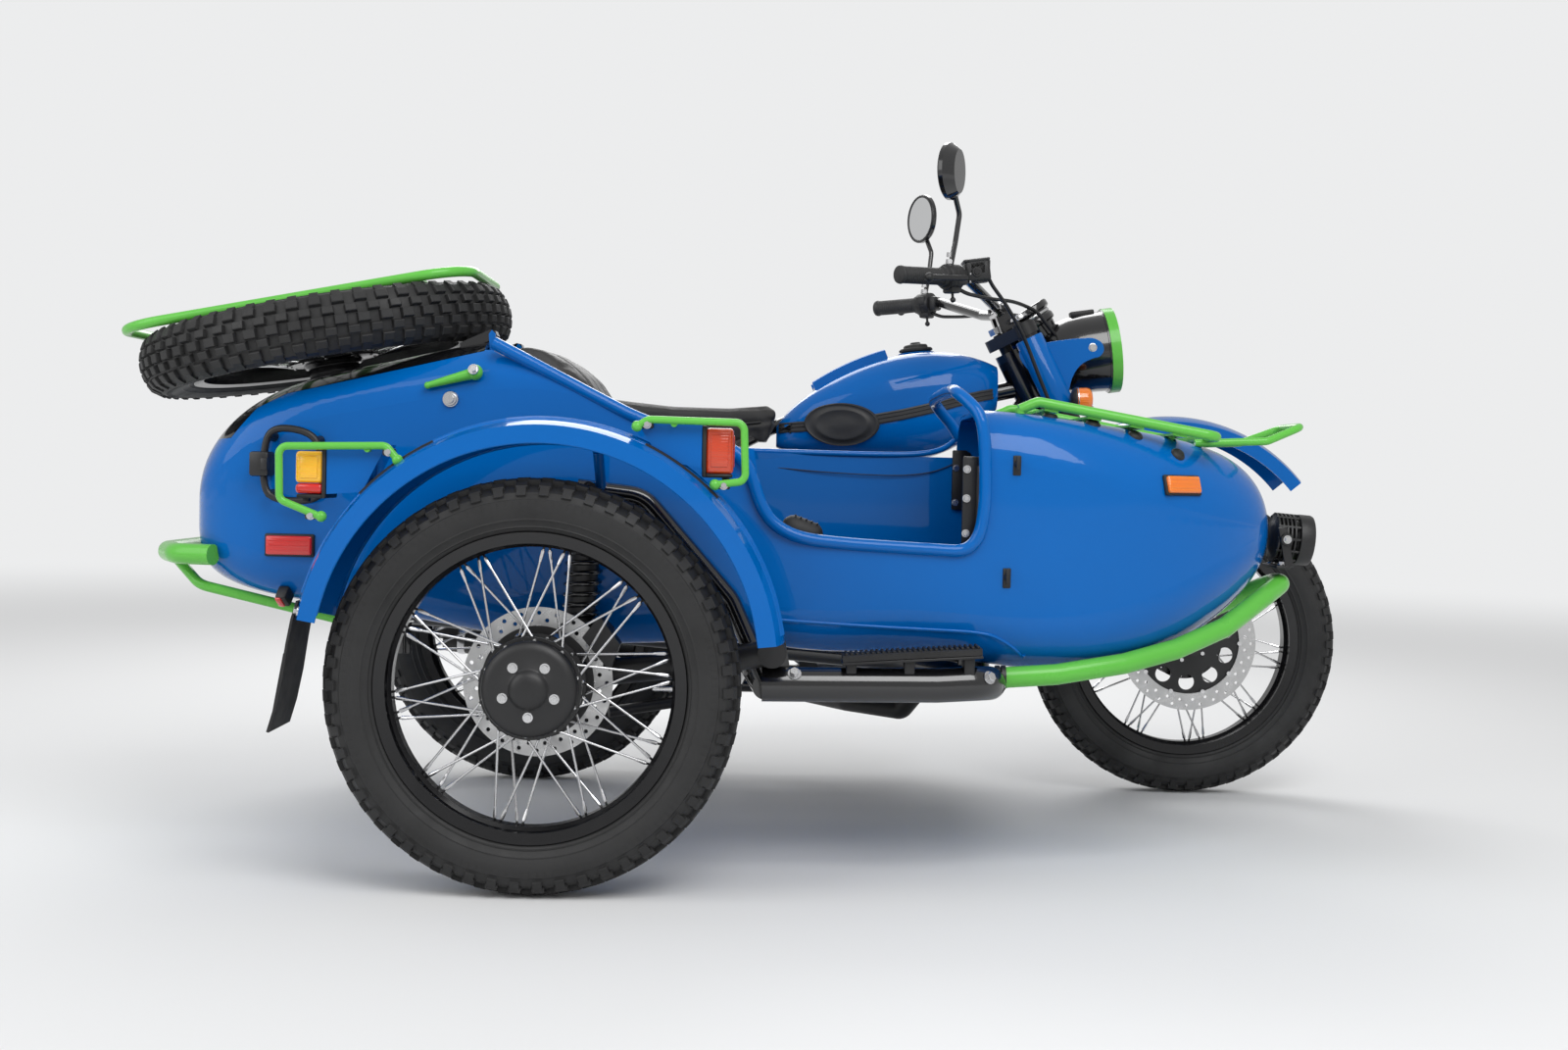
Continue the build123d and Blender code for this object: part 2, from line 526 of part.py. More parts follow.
REAR_ARCH = (-8.0, 372.0, 352.0)       # x and z of its centre, crown radius
with BuildPart() as rear_fender:
    # bracket up to the frame's cross tube
    slab([(72, 690), (108, 690), (102, 740), (78, 740)], 24, -24)
    across(*REAR_ARCH, -60, 60, mode=Mode.SUBTRACT)
    add(frame_tubes.part, mode=Mode.SUBTRACT)
    arch(REAR_ARCH[0], 0, REAR_ARCH[1], REAR_ARCH[2], 76, 42, 12, 168)

# fuel tank sections: x, half width, bottom, top
TANK = ((524, 62, 742, 786), (580, 112, 728, 846), (690, 146, 720, 912), (820, 152, 718, 951),
        (930, 131, 760, 948), (1000, 86, 830, 925))
with BuildPart() as fuel_tank:
    sections = []
    for x, half, low, high in TANK:
        with BuildSketch(Plane(origin=(x, 0, (low + high) / 2), x_dir=(0, 1, 0), z_dir=(1, 0, 0))) as section:
            RectangleRounded(2 * half, high - low, min(half, (high - low) / 2) * 0.8)
        sections.append(section.sketch)
    loft(sections)
    # tunnel over the frame's backbone
    slab([(500, 700), (1020, 700), (1020, 912), (900, 878), (540, 838), (500, 838)], 34, -34, mode=Mode.SUBTRACT)
    add(frame_tubes.part, mode=Mode.SUBTRACT)

SEAT_BASE_Z = SEAT_RAIL_Z + FRAME_TUBE_RADIUS - 3 + SEAT_GAP
with BuildPart() as bike_seat:
    slab([(-90, SEAT_BASE_Z + 4), (-98, 820), (-60, 846), (118, 842), (300, 824), (420, 822), (528, 830),
          (536, 822), (520, 752), (480, 775), (200, SEAT_BASE_Z)], 128, -128)
    fillet(bike_seat.edges().filter_by(Axis.Y).group_by(Axis.Z)[-1], 12)
    add(frame_tubes.part, mode=Mode.SUBTRACT)
    add(fuel_tank.part, mode=Mode.SUBTRACT)

with BuildPart() as tank_trim:
    across(685, 795, 6, -168, -140)
    with BuildSketch(Plane.XZ.offset(136)) as pad:
        with Locations((683, 795)):
            Ellipse(64, 34, rotation=5)
    extrude(pad.sketch, amount=26)
    with BuildSketch(Plane.XZ.offset(-136)) as other_pad:
        with Locations((683, 795)):
            Ellipse(64, 34, rotation=5)
    extrude(other_pad.sketch, amount=-26)
    with Locations((828, 0, 955)):
        Cylinder(30, 40)
    add(fuel_tank.part, mode=Mode.SUBTRACT)

with BuildPart() as tail_lamp:
    slab([(-225, 610), (-330, 645), (-330, 692), (-225, 660)], 26, -26)
    across(*REAR_ARCH, -60, 60, mode=Mode.SUBTRACT)
    slab([(-330, 640), (-392, 628), (-392, 700), (-322, 700)], 38, -38)
    tube([(-338, -150, 662), (-338, 150, 662)], 8)
    for side in (-1, 1):
        across(-338, 662, 28, side * 140, side * 186)
    add(rear_fender.part, mode=Mode.SUBTRACT)

with BuildPart() as centre_stand:
    across(*STAND_PIVOT, 13, -110, 110)
    across(*STAND_PIVOT, STAND_PIN_RADIUS, -138, 138)
    for side in (-1, 1):
        tube([(STAND_PIVOT[0], side * 96, STAND_PIVOT[1]), (270, side * 108, 178), (178, side * 140, 166)], 12, 60)
    across(350, 191, 9, -98, 98)

# ---------------------------------------------------------------- sidecar body
# body sections: x, half width, bottom, top, share of the half size taken by the corner radius
TUB = ((-488, 130, 528, 662, 0.8), (-468, 198, 498, 704, 0.7), (-395, 248, 466, 776, 0.5),
       (-280, 262, 444, 830, 0.4), (20, 266, 398, 900, 0.35), (300, 268, 384, 850, 0.35),
       (600, 268, 378, 806, 0.35), (880, 266, 362, 802, 0.4), (1080, 250, 350, 784, 0.5),
       (1220, 212, 382, 764, 0.65), (1330, 152, 444, 736, 0.8), (1395, 92, 506, 690, 0.9),
       (1422, 34, 566, 628, 0.95))
BULKHEAD_X = 24.0
HINGE = (26.0, 914.0)          # x and z of the trunk lid's hinge pin
HINGE_PIN_RADIUS = 4.0
HINGE_HALF = 170.0             # hinges from the middle of the sidecar
COCKPIT_FRONT_X = 880.0
# top edge of the trunk's side walls, and of the cockpit's walls
TRUNK_EDGE = [(-530, 716), (-410, 724), (-368, 776), (-315, 802), (-256, 815), (BULKHEAD_X - 4, 882)]
COCKPIT_EDGE = [(BULKHEAD_X + 8, 884), (167, 820), (293, 758), (440, 724), (COCKPIT_FRONT_X, 722)]
STEP_EDGE = [(478, 760), (498, 640), (538, 580), (600, 568), (842, 558), (870, 580), (COCKPIT_FRONT_X, 640),
             (COCKPIT_FRONT_X, 760)]


def tub_sections(inset):
    """Body sections drawn in by the inset, from tail to nose."""
    sections = []
    for x, half, low, high, roundness in TUB:
        shift = inset if x < 0 else -inset if x > 1000 else 0
        width = half - inset
        height = (high - low) / 2 - inset
        with BuildSketch(Plane(origin=(x + shift, TUB_MID_Y, (low + high) / 2), x_dir=(0, 1, 0),
                               z_dir=(1, 0, 0))) as section:
            RectangleRounded(2 * width, 2 * height, roundness * min(width, height))
        sections.append(section.sketch)
    return sections


with BuildPart() as tub_outside:
    loft(tub_sections(0))

with BuildPart() as tub_inside:
    loft(tub_sections(TUB_WALL))

with BuildPart() as tub_clear:
    loft(tub_sections(-BODY_GAP))

with BuildPart() as bulkhead:
    slab([(BULKHEAD_X, 380), (BULKHEAD_X + TUB_WALL, 380), (BULKHEAD_X + TUB_WALL, 884), (BULKHEAD_X, 884)],
         TUB_MID_Y + 300, TUB_MID_Y - 300)
    add(tub_outside.part, mode=Mode.INTERSECT)

with BuildPart() as tub:
    add(tub_outside.part)
    add(tub_inside.part, mode=Mode.SUBTRACT)
    add(bulkhead.part)
    slab(TRUNK_EDGE + [(BULKHEAD_X - 4, 1000), (-530, 1000)], -300, -1100, mode=Mode.SUBTRACT)
    slab(COCKPIT_EDGE + [(COCKPIT_FRONT_X, 1000), (BULKHEAD_X - 10, 1000), (BULKHEAD_X - 10, 884)], -300, -1100,
         mode=Mode.SUBTRACT)
    slab(STEP_EDGE, -860, -1100, mode=Mode.SUBTRACT)
    # hinge ears on the bulkhead and the pins in them
    for side in (-1, 1):
        middle = TUB_MID_Y + side * HINGE_HALF
        for y in (middle - 24, middle + 18):
            slab([(BULKHEAD_X, 870), (BULKHEAD_X + 6, 870), (HINGE[0] + 7, HINGE[1]), (HINGE[0], HINGE[1] + 7),
                  (HINGE[0] - 5, HINGE[1])], y + 6, y)
        across(*HINGE, HINGE_PIN_RADIUS, middle - 24, middle + 24)

SKIN_Y = TUB_MID_Y - 240.0       # just inside the body's outer side
LOOP_Y = TUB_MID_Y - 290.0
with BuildPart() as tool_bracket:
    tube([(-282, SKIN_Y, 620), (-282, LOOP_Y, 620), (-240, LOOP_Y, 622), (-248, LOOP_Y, 730), (-330, LOOP_Y, 740),
          (-338, LOOP_Y, 618), (-298, LOOP_Y, 620), (-298, SKIN_Y, 620)], 6, 14)
    for x, z in ((-262, 732), (-318, 739)):
        across(x, z, 6, SKIN_Y, LOOP_Y)
    slab([(-362, 662), (-336, 662), (-336, 700), (-362, 700)], SKIN_Y, LOOP_Y - 12)
    add(tub_clear.part, mode=Mode.SUBTRACT)

with BuildPart() as lid_catch:
    # lever on its pivot, and the lock below it
    tube([(-72, TUB_MID_Y - 272, 818), (8, TUB_MID_Y - 270, 841)], 8)
    across(8, 841, 12, SKIN_Y, TUB_MID_Y - 284)
    across(-60, 821, 6, SKIN_Y, TUB_MID_Y - 272)
    across(-35, 796, 13, SKIN_Y, TUB_MID_Y - 272)
    add(tub_clear.part, mode=Mode.SUBTRACT)

tilt = radians(SPARE_TILT)
spare_plane = Plane(origin=(SPARE_X, TUB_MID_Y, SPARE_Z), x_dir=(cos(tilt), 0, sin(tilt)),
                    z_dir=(-sin(tilt), 0, cos(tilt)))


def on_spare(x, y, z):
    """World place of a point given forward, left and up from the middle of the spare wheel."""
    return spare_plane.from_local_coords(Vector(x, y, z))


LID_EDGE = [(x, z + LID_GAP) for x, z in TRUNK_EDGE]
with BuildPart() as trunk_lid:
    add(tub_outside.part)
    add(tub_inside.part, mode=Mode.SUBTRACT)
    slab(LID_EDGE + [(BULKHEAD_X - 4, 1000), (-530, 1000)], -300, -1100, mode=Mode.INTERSECT)
    for side in (-1, 1):
        middle = TUB_MID_Y + side * HINGE_HALF
        slab([(-30, 884), (-30, 898), (HINGE[0] - 4, HINGE[1] + 8), (HINGE[0] + 5, HINGE[1] + 6),
              (HINGE[0] + 8, HINGE[1] - 2), (HINGE[0] + 2, HINGE[1] - 8), (6, 896)], middle + 16, middle - 16)
        across(*HINGE, HINGE_PIN_RADIUS + RUNNING_FIT, middle - 30, middle + 30, mode=Mode.SUBTRACT)
    # carrier of the spare wheel: foot on the lid and stud through the hub
    tube([on_spare(0, 0, -HUB_HALF_WIDTH), on_spare(0, 0, -HUB_HALF_WIDTH - 46)], 46)
    tube([on_spare(0, 0, -HUB_HALF_WIDTH - 10), on_spare(0, 0, HUB_HALF_WIDTH)], AXLE_RADIUS)

RACK_HALF = 200.0
RACK_RISE = TYRE_HALF_WIDTH + RACK_TUBE_RADIUS + 3.0
RACK_REAR = -318.0
RACK_FRONT = 300.0
SLAT = 4.0
SLAT_TOP = RACK_RISE + 1.0      # slats' top, just above the middle of the tubes that they end in
with BuildPart() as luggage_rack:
    for end in (RACK_FRONT, RACK_REAR):
        tube([on_spare(x, y, RACK_RISE) for x, y in
              ((0, RACK_HALF), (end, RACK_HALF), (end, -RACK_HALF), (0, -RACK_HALF))], RACK_TUBE_RADIUS, 80)
    with BuildSketch(spare_plane.offset(SLAT_TOP - SLAT)) as slats:
        with Locations((-200, 0), (-62, 0), (62, 0), (200, 0)):
            Rectangle(26, 2 * RACK_HALF)
        with Locations((0, -62), (0, 62)):
            Rectangle(420, 22)
        Circle(52)
    extrude(slats.sketch, amount=SLAT)
    with BuildSketch(spare_plane.offset(HUB_HALF_WIDTH)) as seat:
        Circle(40)
    extrude(seat.sketch, amount=SLAT_TOP - SLAT / 2 - HUB_HALF_WIDTH)

with BuildPart() as cockpit_rail:
    near = TUB_MID_Y - 266
    rise = 10.0
    rail = [(40, near + 4, 884 + rise), (167, near, 820 + rise), (293, near, 758 + rise), (452, near - 1, 716 + rise),
            (484, near - 2, 690), (504, near - 2, 620), (560, near - 2, 572), (848, near - 2, 558),
            (878, near - 2, 640), (874, near - 2, 768), (828, near + 40, 832), (828, TUB_MID_Y + 226, 832),
            (884, TUB_MID_Y + 262, 768), (884, TUB_MID_Y + 262, 730 + rise), (700, TUB_MID_Y + 262, 722 + rise),
            (440, TUB_MID_Y + 262, 724 + rise), (293, TUB_MID_Y + 262, 758 + rise), (40, TUB_MID_Y + 262, 884 + rise)]
    tube(rail, RIM_TUBE_RADIUS, 24)
    add(tub.part, mode=Mode.SUBTRACT)

with BuildPart() as sidecar_seat:
    slab([(44, 560), (44, 884), (66, 890), (120, 868), (200, 810), (258, 752), (262, 700), (190, 560)],
         TUB_MID_Y + 236, TUB_MID_Y - 236)
    slab([(44, 440), (44, 560 - SEAT_GAP), (420, 560 - SEAT_GAP), (560, 520), (570, 470), (560, 440)],
         TUB_MID_Y + 236, TUB_MID_Y - 236)
    fillet(sidecar_seat.edges().filter_by(Axis.Y).group_by(Axis.Z)[-1], 14)
    add(tub.part, mode=Mode.SUBTRACT)

# ---------------------------------------------------------------- sidecar chassis and its wheel's arm
SILL_Y = -1000.0
CROSS_Z = 326.0
INNER_RAIL_Y = -480.0
ARM_PIVOT = (522.0, 385.0)
ARM_Y = -1016.0
with BuildPart() as sidecar_frame:
    tube([(506, SILL_Y, CROSS_Z + 4), (800, SILL_Y, CROSS_Z + 8), (893, SILL_Y + 4, CROSS_Z + 14),
          (893, SILL_Y + 112, CROSS_Z)], SILL_TUBE_RADIUS, 50)
    tube([(893, SILL_Y + 108, CROSS_Z), (893, -RAIL_HALF - 30, CROSS_Z - 60), (893, -RAIL_HALF, RAIL_Z)],
         CHASSIS_TUBE_RADIUS, 40)
    tube([(512, SILL_Y, CROSS_Z), (470, INNER_RAIL_Y, CROSS_Z), (440, -RAIL_HALF, RAIL_Z)],
         CHASSIS_TUBE_RADIUS, 40)
    tube([(893, INNER_RAIL_Y, CROSS_Z - 26), (760, INNER_RAIL_Y, CROSS_Z), (-180, INNER_RAIL_Y, CROSS_Z + 70)],
         CHASSIS_TUBE_RADIUS, 60)
    tube([(-180, INNER_RAIL_Y, CROSS_Z + 70), (-180, -930, CROSS_Z + 70)], CHASSIS_TUBE_RADIUS - 4)
    # arm pivot and shock tower beside the body
    slab([(500, 340), (556, 340), (544, ARM_PIVOT[1] + 18), (508, ARM_PIVOT[1] + 18)], SILL_Y + 26, SILL_Y + 8)
    tube([(512, SILL_Y + 10, CROSS_Z + 10), (450, -985, 470), (300, -985, 640), (190, -985, 652)], 16, 60)
    across(214, 652, 12, -985, ARM_Y - 20)
    # upper struts to the bike
    tube([(880, INNER_RAIL_Y + 20, CROSS_Z), (950, -90, 640)], 13)
    tube([(330, INNER_RAIL_Y + 10, CROSS_Z + 20), (262, -SEAT_RAIL_HALF - 16, 640)], 13)
    # body mounts
    for x in (893, 486, -180):
        for y in (-560, -820):
            tube([(x, y, CROSS_Z), (x, y, 470)], 15)
    add(frame_tubes.part, mode=Mode.SUBTRACT)
    add(tub_clear.part, mode=Mode.SUBTRACT)
    add(exhaust.part, mode=Mode.SUBTRACT)

with BuildPart() as side_swingarm:
    tube([(ARM_PIVOT[0], ARM_Y, ARM_PIVOT[1]), (400, ARM_Y, 364), (WHEEL_LEAD, ARM_Y, AXLE_Z)], 22, 120)
    across(*ARM_PIVOT, 24, SILL_Y + 8, ARM_Y - 26)
    across(WHEEL_LEAD, AXLE_Z, 44, SIDE_Y + BOSS_INNER, ARM_Y + 30)
    across(WHEEL_LEAD, AXLE_Z, AXLE_RADIUS, SIDE_Y - HUB_HALF_WIDTH - 3, SIDE_Y + BOSS_INNER + 4)
    # shock from the arm to the tower
    across(196, 372, 12, ARM_Y + 20, ARM_Y - 20)
    tube([(196, ARM_Y, 350), (214, ARM_Y, 652)], 9)
    tube([(199, ARM_Y, 410), (212, ARM_Y, 632)], 25)
    # brake caliper astride the disc
    slab([(212, 410), (258, 356), (274, 400), (240, 446)], SIDE_Y + DISC_OFFSET + 26, SIDE_Y + DISC_OFFSET - 16)
    slab([(232, 352), (262, 352), (258, 420), (240, 440)], ARM_Y + 10, SIDE_Y + DISC_OFFSET + 20)
    groove(WHEEL_LEAD, SIDE_Y + DISC_OFFSET, SIDE_DISC_RADIUS)
    add(sidecar_frame.part, mode=Mode.SUBTRACT)

# shaft that drives the sidecar wheel, from the rear axle's final drive
with BuildPart() as side_shaft:
    tube([(4, -140, AXLE_Z), (WHEEL_LEAD - 2, ARM_Y + 20, AXLE_Z)], 15)
    add(final_drive.part, mode=Mode.SUBTRACT)
    add(side_swingarm.part, mode=Mode.SUBTRACT)

SIDE_ARCH = (WHEEL_LEAD + 12, 374.0, 392.0)
ARCH_START = 6.0
ARCH_END = 170.0
ARCH_HALF = 76.0
with BuildPart() as side_fender:
    arch(SIDE_ARCH[0], SIDE_Y, SIDE_ARCH[1], SIDE_ARCH[2], ARCH_HALF, 42, ARCH_START, ARCH_END)
    # stays from the shock tower and from the body
    tube([(230, ARM_Y + 26, 652), (230, SIDE_Y + ARCH_HALF - 1, 716)], 9)
    add(sidecar_frame.part, mode=Mode.SUBTRACT)
    add(side_swingarm.part, mode=Mode.SUBTRACT)

with BuildPart() as mudflap:
    slab([(-220, 472), (-228, 472), (-237, 440), (-270, 258), (-264, 258), (-229, 440)], SIDE_Y + 68, SIDE_Y - 68)
    add(side_fender.part, mode=Mode.SUBTRACT)

# lamps on the fender: outline of housing and of lens, side view
FRONT_HOUSING = [(300, 762), (404, 764), (404, 690), (340, 700)]
FRONT_LENS = [(404, 752), (456, 748), (456, 684), (404, 684)]
REAR_HOUSING = [(-92, 716), (-186, 710), (-186, 636), (-130, 640)]
REAR_LENS = [(-186, 704), (-238, 702), (-238, 634), (-186, 634)]
LAMP_HALF = 38.0
with BuildPart() as lamp_housings:
    slab(FRONT_HOUSING, SIDE_Y + LAMP_HALF, SIDE_Y - LAMP_HALF)
    slab(REAR_HOUSING, SIDE_Y + LAMP_HALF, SIDE_Y - LAMP_HALF)
    across(SIDE_ARCH[0], SIDE_ARCH[1], SIDE_ARCH[2] - 2, SIDE_Y + 60, SIDE_Y - 60, mode=Mode.SUBTRACT)
    add(side_fender.part, mode=Mode.SUBTRACT)

with BuildPart() as lamp_lenses:
    slab(FRONT_LENS, SIDE_Y + LAMP_HALF - 3, SIDE_Y - LAMP_HALF + 3)
    slab(REAR_LENS, SIDE_Y + LAMP_HALF - 3, SIDE_Y - LAMP_HALF + 3)

GUARD_Y = SIDE_Y - 52.0
with BuildPart() as lamp_guards:
    tube([(300, GUARD_Y, 752), (320, GUARD_Y, 764), (470, GUARD_Y, 762), (474, GUARD_Y, 670), (425, GUARD_Y, 664)],
         GUARD_TUBE_RADIUS, 14)
    tube([(-70, GUARD_Y, 690), (-90, GUARD_Y, 714), (-258, GUARD_Y, 710), (-256, GUARD_Y, 626),
          (-190, GUARD_Y, 600)], GUARD_TUBE_RADIUS, 14)
    # clips on the housings
    across(-120, 708, 5, GUARD_Y, SIDE_Y - LAMP_HALF + 6)
    across(360, 758, 5, GUARD_Y, SIDE_Y - LAMP_HALF + 6)
    add(side_fender.part, mode=Mode.SUBTRACT)
    add(lamp_housings.part, mode=Mode.SUBTRACT)

with BuildPart() as bumpers:
    tube([(916, -940, 343), (1010, -936, 350), (1130, -908, 368), (1230, -868, 392), (1326, -818, 428),
          (1412, -752, 480), (1452, TUB_MID_Y - 20, 502), (1452, TUB_MID_Y + 20, 502), (1412, TUB_MID_Y + 62, 480),
          (1326, TUB_MID_Y + 128, 428), (1230, TUB_MID_Y + 178, 392), (1130, TUB_MID_Y + 218, 368),
          (1010, TUB_MID_Y + 246, 350), (916, TUB_MID_Y + 250, 343)], BUMPER_RADIUS, 24)
    tube([(-436, -930, 524), (-505, -905, 524), (-548, -820, 524), (-548, -560, 524), (-505, -475, 524),
          (-436, -450, 524)], BUMPER_RADIUS, 50)
    for side in (-1, 1):
        tube([(893, TUB_MID_Y + side * 225, CROSS_Z - 6), (960, TUB_MID_Y + side * 249, 346)], 9)
        tube([(-160, TUB_MID_Y + side * 200, CROSS_Z + 74), (-470, TUB_MID_Y + side * 200, 470),
              (-540, TUB_MID_Y + side * 140, 524)], 9, 40)
    add(tub_clear.part, mode=Mode.SUBTRACT)
    add(sidecar_frame.part, mode=Mode.SUBTRACT)

NOSE_HALF = 182.0
with BuildPart() as nose_rack:
    loop = [(1100, NOSE_HALF, 797), (1292, NOSE_HALF, 764), (1292, -NOSE_HALF, 764), (1100, -NOSE_HALF, 797),
            (976, -NOSE_HALF, 818), (944, -NOSE_HALF, 804)]
    tube([(x, TUB_MID_Y + y, z) for x, y, z in loop], RACK_TUBE_RADIUS, 20)
    tube([(1100, TUB_MID_Y + NOSE_HALF, 797), (976, TUB_MID_Y + NOSE_HALF, 818), (944, TUB_MID_Y + NOSE_HALF, 804)],
         RACK_TUBE_RADIUS, 20)
    tube([(1270, TUB_MID_Y + 96, 754), (1400, TUB_MID_Y + 96, 760), (1468, TUB_MID_Y + 70, 788),
          (1468, TUB_MID_Y - 70, 788), (1400, TUB_MID_Y - 96, 760), (1270, TUB_MID_Y - 96, 754)],
         RACK_TUBE_RADIUS - 2, 24)
    for x, z in ((1000, 805), (1075, 793), (1150, 780), (1225, 767)):
        slab([(x - 12, z + 2), (x + 12, z - 2), (x + 12, z - 6), (x - 12, z - 2)], TUB_MID_Y + NOSE_HALF,
             TUB_MID_Y - NOSE_HALF)
        for side in (-1, 1):
            tube([(x, TUB_MID_Y + side * 110, z), (x, TUB_MID_Y + side * 110, z - 60)], 6)
    for side in (-1, 1):
        tube([(946, TUB_MID_Y + side * NOSE_HALF, 806), (940, TUB_MID_Y + side * NOSE_HALF, 740)], 8)
    add(tub_clear.part, mode=Mode.SUBTRACT)

with BuildPart() as nose_lamp:
    tube([(1436, TUB_MID_Y, 586), (1512, TUB_MID_Y, 580)], 46)
    slab([(1405, 552), (1440, 540), (1480, 530), (1492, 505), (1470, 490), (1430, 492), (1400, 515)],
         TUB_MID_Y + 34, TUB_MID_Y - 34)
    tube([(1400, TUB_MID_Y, 586), (1440, TUB_MID_Y, 586)], 20)
    add(tub_clear.part, mode=Mode.SUBTRACT)
    add(bumpers.part, mode=Mode.SUBTRACT)

# ---------------------------------------------------------------- placing and writing
# wheel, x, y, z, side its disc faces (1 towards +Y)
WHEELS = (("front", WHEEL_BASE, 0.0, -1), ("rear", 0.0, 0.0, 1), ("side", WHEEL_LEAD, SIDE_Y, 1))
pieces = {
    "fork": fork, "fork_links": fork_links, "fork_covers": fork_covers, "front_fender": front_fender, "handlebar": handlebar,
    "controls": controls, "mirrors": mirrors, "headlamp": headlamp, "headlamp_rim": headlamp_rim,
    "headlamp_lens": headlamp_lens, "cables": cables, "turn_lamps": turn_lamps, "frame_tubes": frame_tubes,
    "footrests": footrests, "engine": engine, "tool_bracket": tool_bracket, "lid_catch": lid_catch,
    "cylinders": cylinders, "exhaust": exhaust, "final_drive": final_drive, "rear_shocks": rear_shocks,
    "rear_fender": rear_fender, "bike_seat": bike_seat, "fuel_tank": fuel_tank, "tank_trim": tank_trim,
    "tail_lamp": tail_lamp, "centre_stand": centre_stand, "tub": tub, "trunk_lid": trunk_lid,
    "luggage_rack": luggage_rack, "cockpit_rail": cockpit_rail, "sidecar_seat": sidecar_seat,
    "sidecar_frame": sidecar_frame, "side_swingarm": side_swingarm, "side_shaft": side_shaft,
    "side_fender": side_fender, "mudflap": mudflap, "lamp_housings": lamp_housings, "lamp_lenses": lamp_lenses,
    "lamp_guards": lamp_guards, "bumpers": bumpers, "nose_rack": nose_rack, "nose_lamp": nose_lamp,
}
placed = {name: piece.part for name, piece in pieces.items()}
for name, x, y, facing in WHEELS:
    turn = 0 if facing == 1 else 180
    place = Location((x, y, AXLE_Z), (0, 0, turn))
    placed[name + "_tyre"] = tyre.part.moved(place)
    placed[name + "_rim"] = rim.part.moved(place)
    placed[name + "_disc"] = discs[name].part.moved(place)
placed["hub_cap"] = hub_cap.part.moved(Location((WHEEL_LEAD, SIDE_Y, AXLE_Z)))
spare_place = spare_plane.location * Location((0, 0, 0), (90, 0, 0))
placed["spare_tyre"] = tyre.part.moved(spare_place)
placed["spare_rim"] = rim.part.moved(spare_place)

os.makedirs("parts", exist_ok=True)
for name, solid in placed.items():
    solid = solid.moved(Location((-MID_X, -MID_Y, 0)))
    solid.label = name
    export_step(solid, "parts/" + name + ".step")
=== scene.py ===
"""Looks of the sidecar motorcycle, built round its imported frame: finishes, soft parts and small detail."""
import math

import bmesh
import bpy
from mathutils import Matrix, Vector
from mathutils.bvhtree import BVHTree


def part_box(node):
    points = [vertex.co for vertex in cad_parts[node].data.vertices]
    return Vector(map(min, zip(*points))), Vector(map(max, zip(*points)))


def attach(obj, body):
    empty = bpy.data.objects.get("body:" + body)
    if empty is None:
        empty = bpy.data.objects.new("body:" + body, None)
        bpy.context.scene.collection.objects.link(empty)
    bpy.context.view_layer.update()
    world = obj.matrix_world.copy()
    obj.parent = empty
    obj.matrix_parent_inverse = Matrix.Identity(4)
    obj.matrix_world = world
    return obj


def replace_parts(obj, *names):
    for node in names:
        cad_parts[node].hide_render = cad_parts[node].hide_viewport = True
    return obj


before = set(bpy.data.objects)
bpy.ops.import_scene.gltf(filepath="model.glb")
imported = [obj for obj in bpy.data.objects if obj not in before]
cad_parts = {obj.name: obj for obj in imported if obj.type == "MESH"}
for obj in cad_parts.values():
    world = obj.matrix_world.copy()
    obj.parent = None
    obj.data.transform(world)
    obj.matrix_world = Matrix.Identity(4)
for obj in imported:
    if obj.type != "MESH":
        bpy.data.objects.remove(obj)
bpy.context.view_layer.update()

# ---------------------------------------------------------------------------------------------
# Floor, light and camera. A pale studio floor that fades into the background, three soft area
# lamps and an even sky. Places are given in millimetres from the rear wheel's foot: x forward,
# y to the rider's left, z up.
rear_low, rear_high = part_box("rear_rim")
REAR_WHEEL = (rear_low + rear_high) / 2


def at(x, y, z):
    """Point in the frame's metres, from millimetres forward, left and up of the rear wheel's foot."""
    return Vector((REAR_WHEEL.x + x / 1000, REAR_WHEEL.y + y / 1000, z / 1000))


def placed(name, data):
    """New object in the scene."""
    made = bpy.data.objects.new(name, data)
    bpy.context.scene.collection.objects.link(made)
    return made


def new_material(name, **sockets):
    """Node material with a Principled shader whose plain sockets are set by name."""
    material = bpy.data.materials.new(name)
    material.use_nodes = True
    shader = material.node_tree.nodes["Principled BSDF"]
    for socket, value in sockets.items():
        shader.inputs[socket.replace("_", " ")].default_value = value
    return material, material.node_tree.nodes, material.node_tree.links, shader


def emboss(nodes, links, height, shader, strength, distance=None):
    """Bump on a shader from a height output; distance in metres, left as it is when not given."""
    bump = nodes.new("ShaderNodeBump")
    bump.inputs["Strength"].default_value = strength
    if distance is not None:
        bump.inputs["Distance"].default_value = distance
    links.new(height, bump.inputs["Height"])
    links.new(bump.outputs["Normal"], shader.inputs["Normal"])


BACKGROUND = (0.84, 0.845, 0.85, 1.0)
FLOOR_TONE = (0.78, 0.785, 0.79, 1.0)
FLOOR_HALF = 40.0
FADE_NEAR = 2.2
FADE_FAR = 10.0
mesh = bmesh.new()
bmesh.ops.create_grid(mesh, x_segments=8, y_segments=8, size=FLOOR_HALF)
floor_mesh = bpy.data.meshes.new("floor")
mesh.to_mesh(floor_mesh)
mesh.free()
floor = placed("floor", floor_mesh)
floor_paint, nodes, links, shader = new_material("studio_floor", Roughness=0.75, Base_Color=FLOOR_TONE)
grain = nodes.new("ShaderNodeTexNoise")
grain.inputs["Scale"].default_value = 60.0
place = nodes.new("ShaderNodeTexCoord")
links.new(place.outputs["Object"], grain.inputs["Vector"])
emboss(nodes, links, grain.outputs["Fac"], shader, 0.04)
distance = nodes.new("ShaderNodeVectorMath")
distance.operation = "LENGTH"
links.new(place.outputs["Object"], distance.inputs[0])
fade = nodes.new("ShaderNodeMapRange")
fade.interpolation_type = "SMOOTHSTEP"
fade.inputs["From Min"].default_value = FADE_NEAR
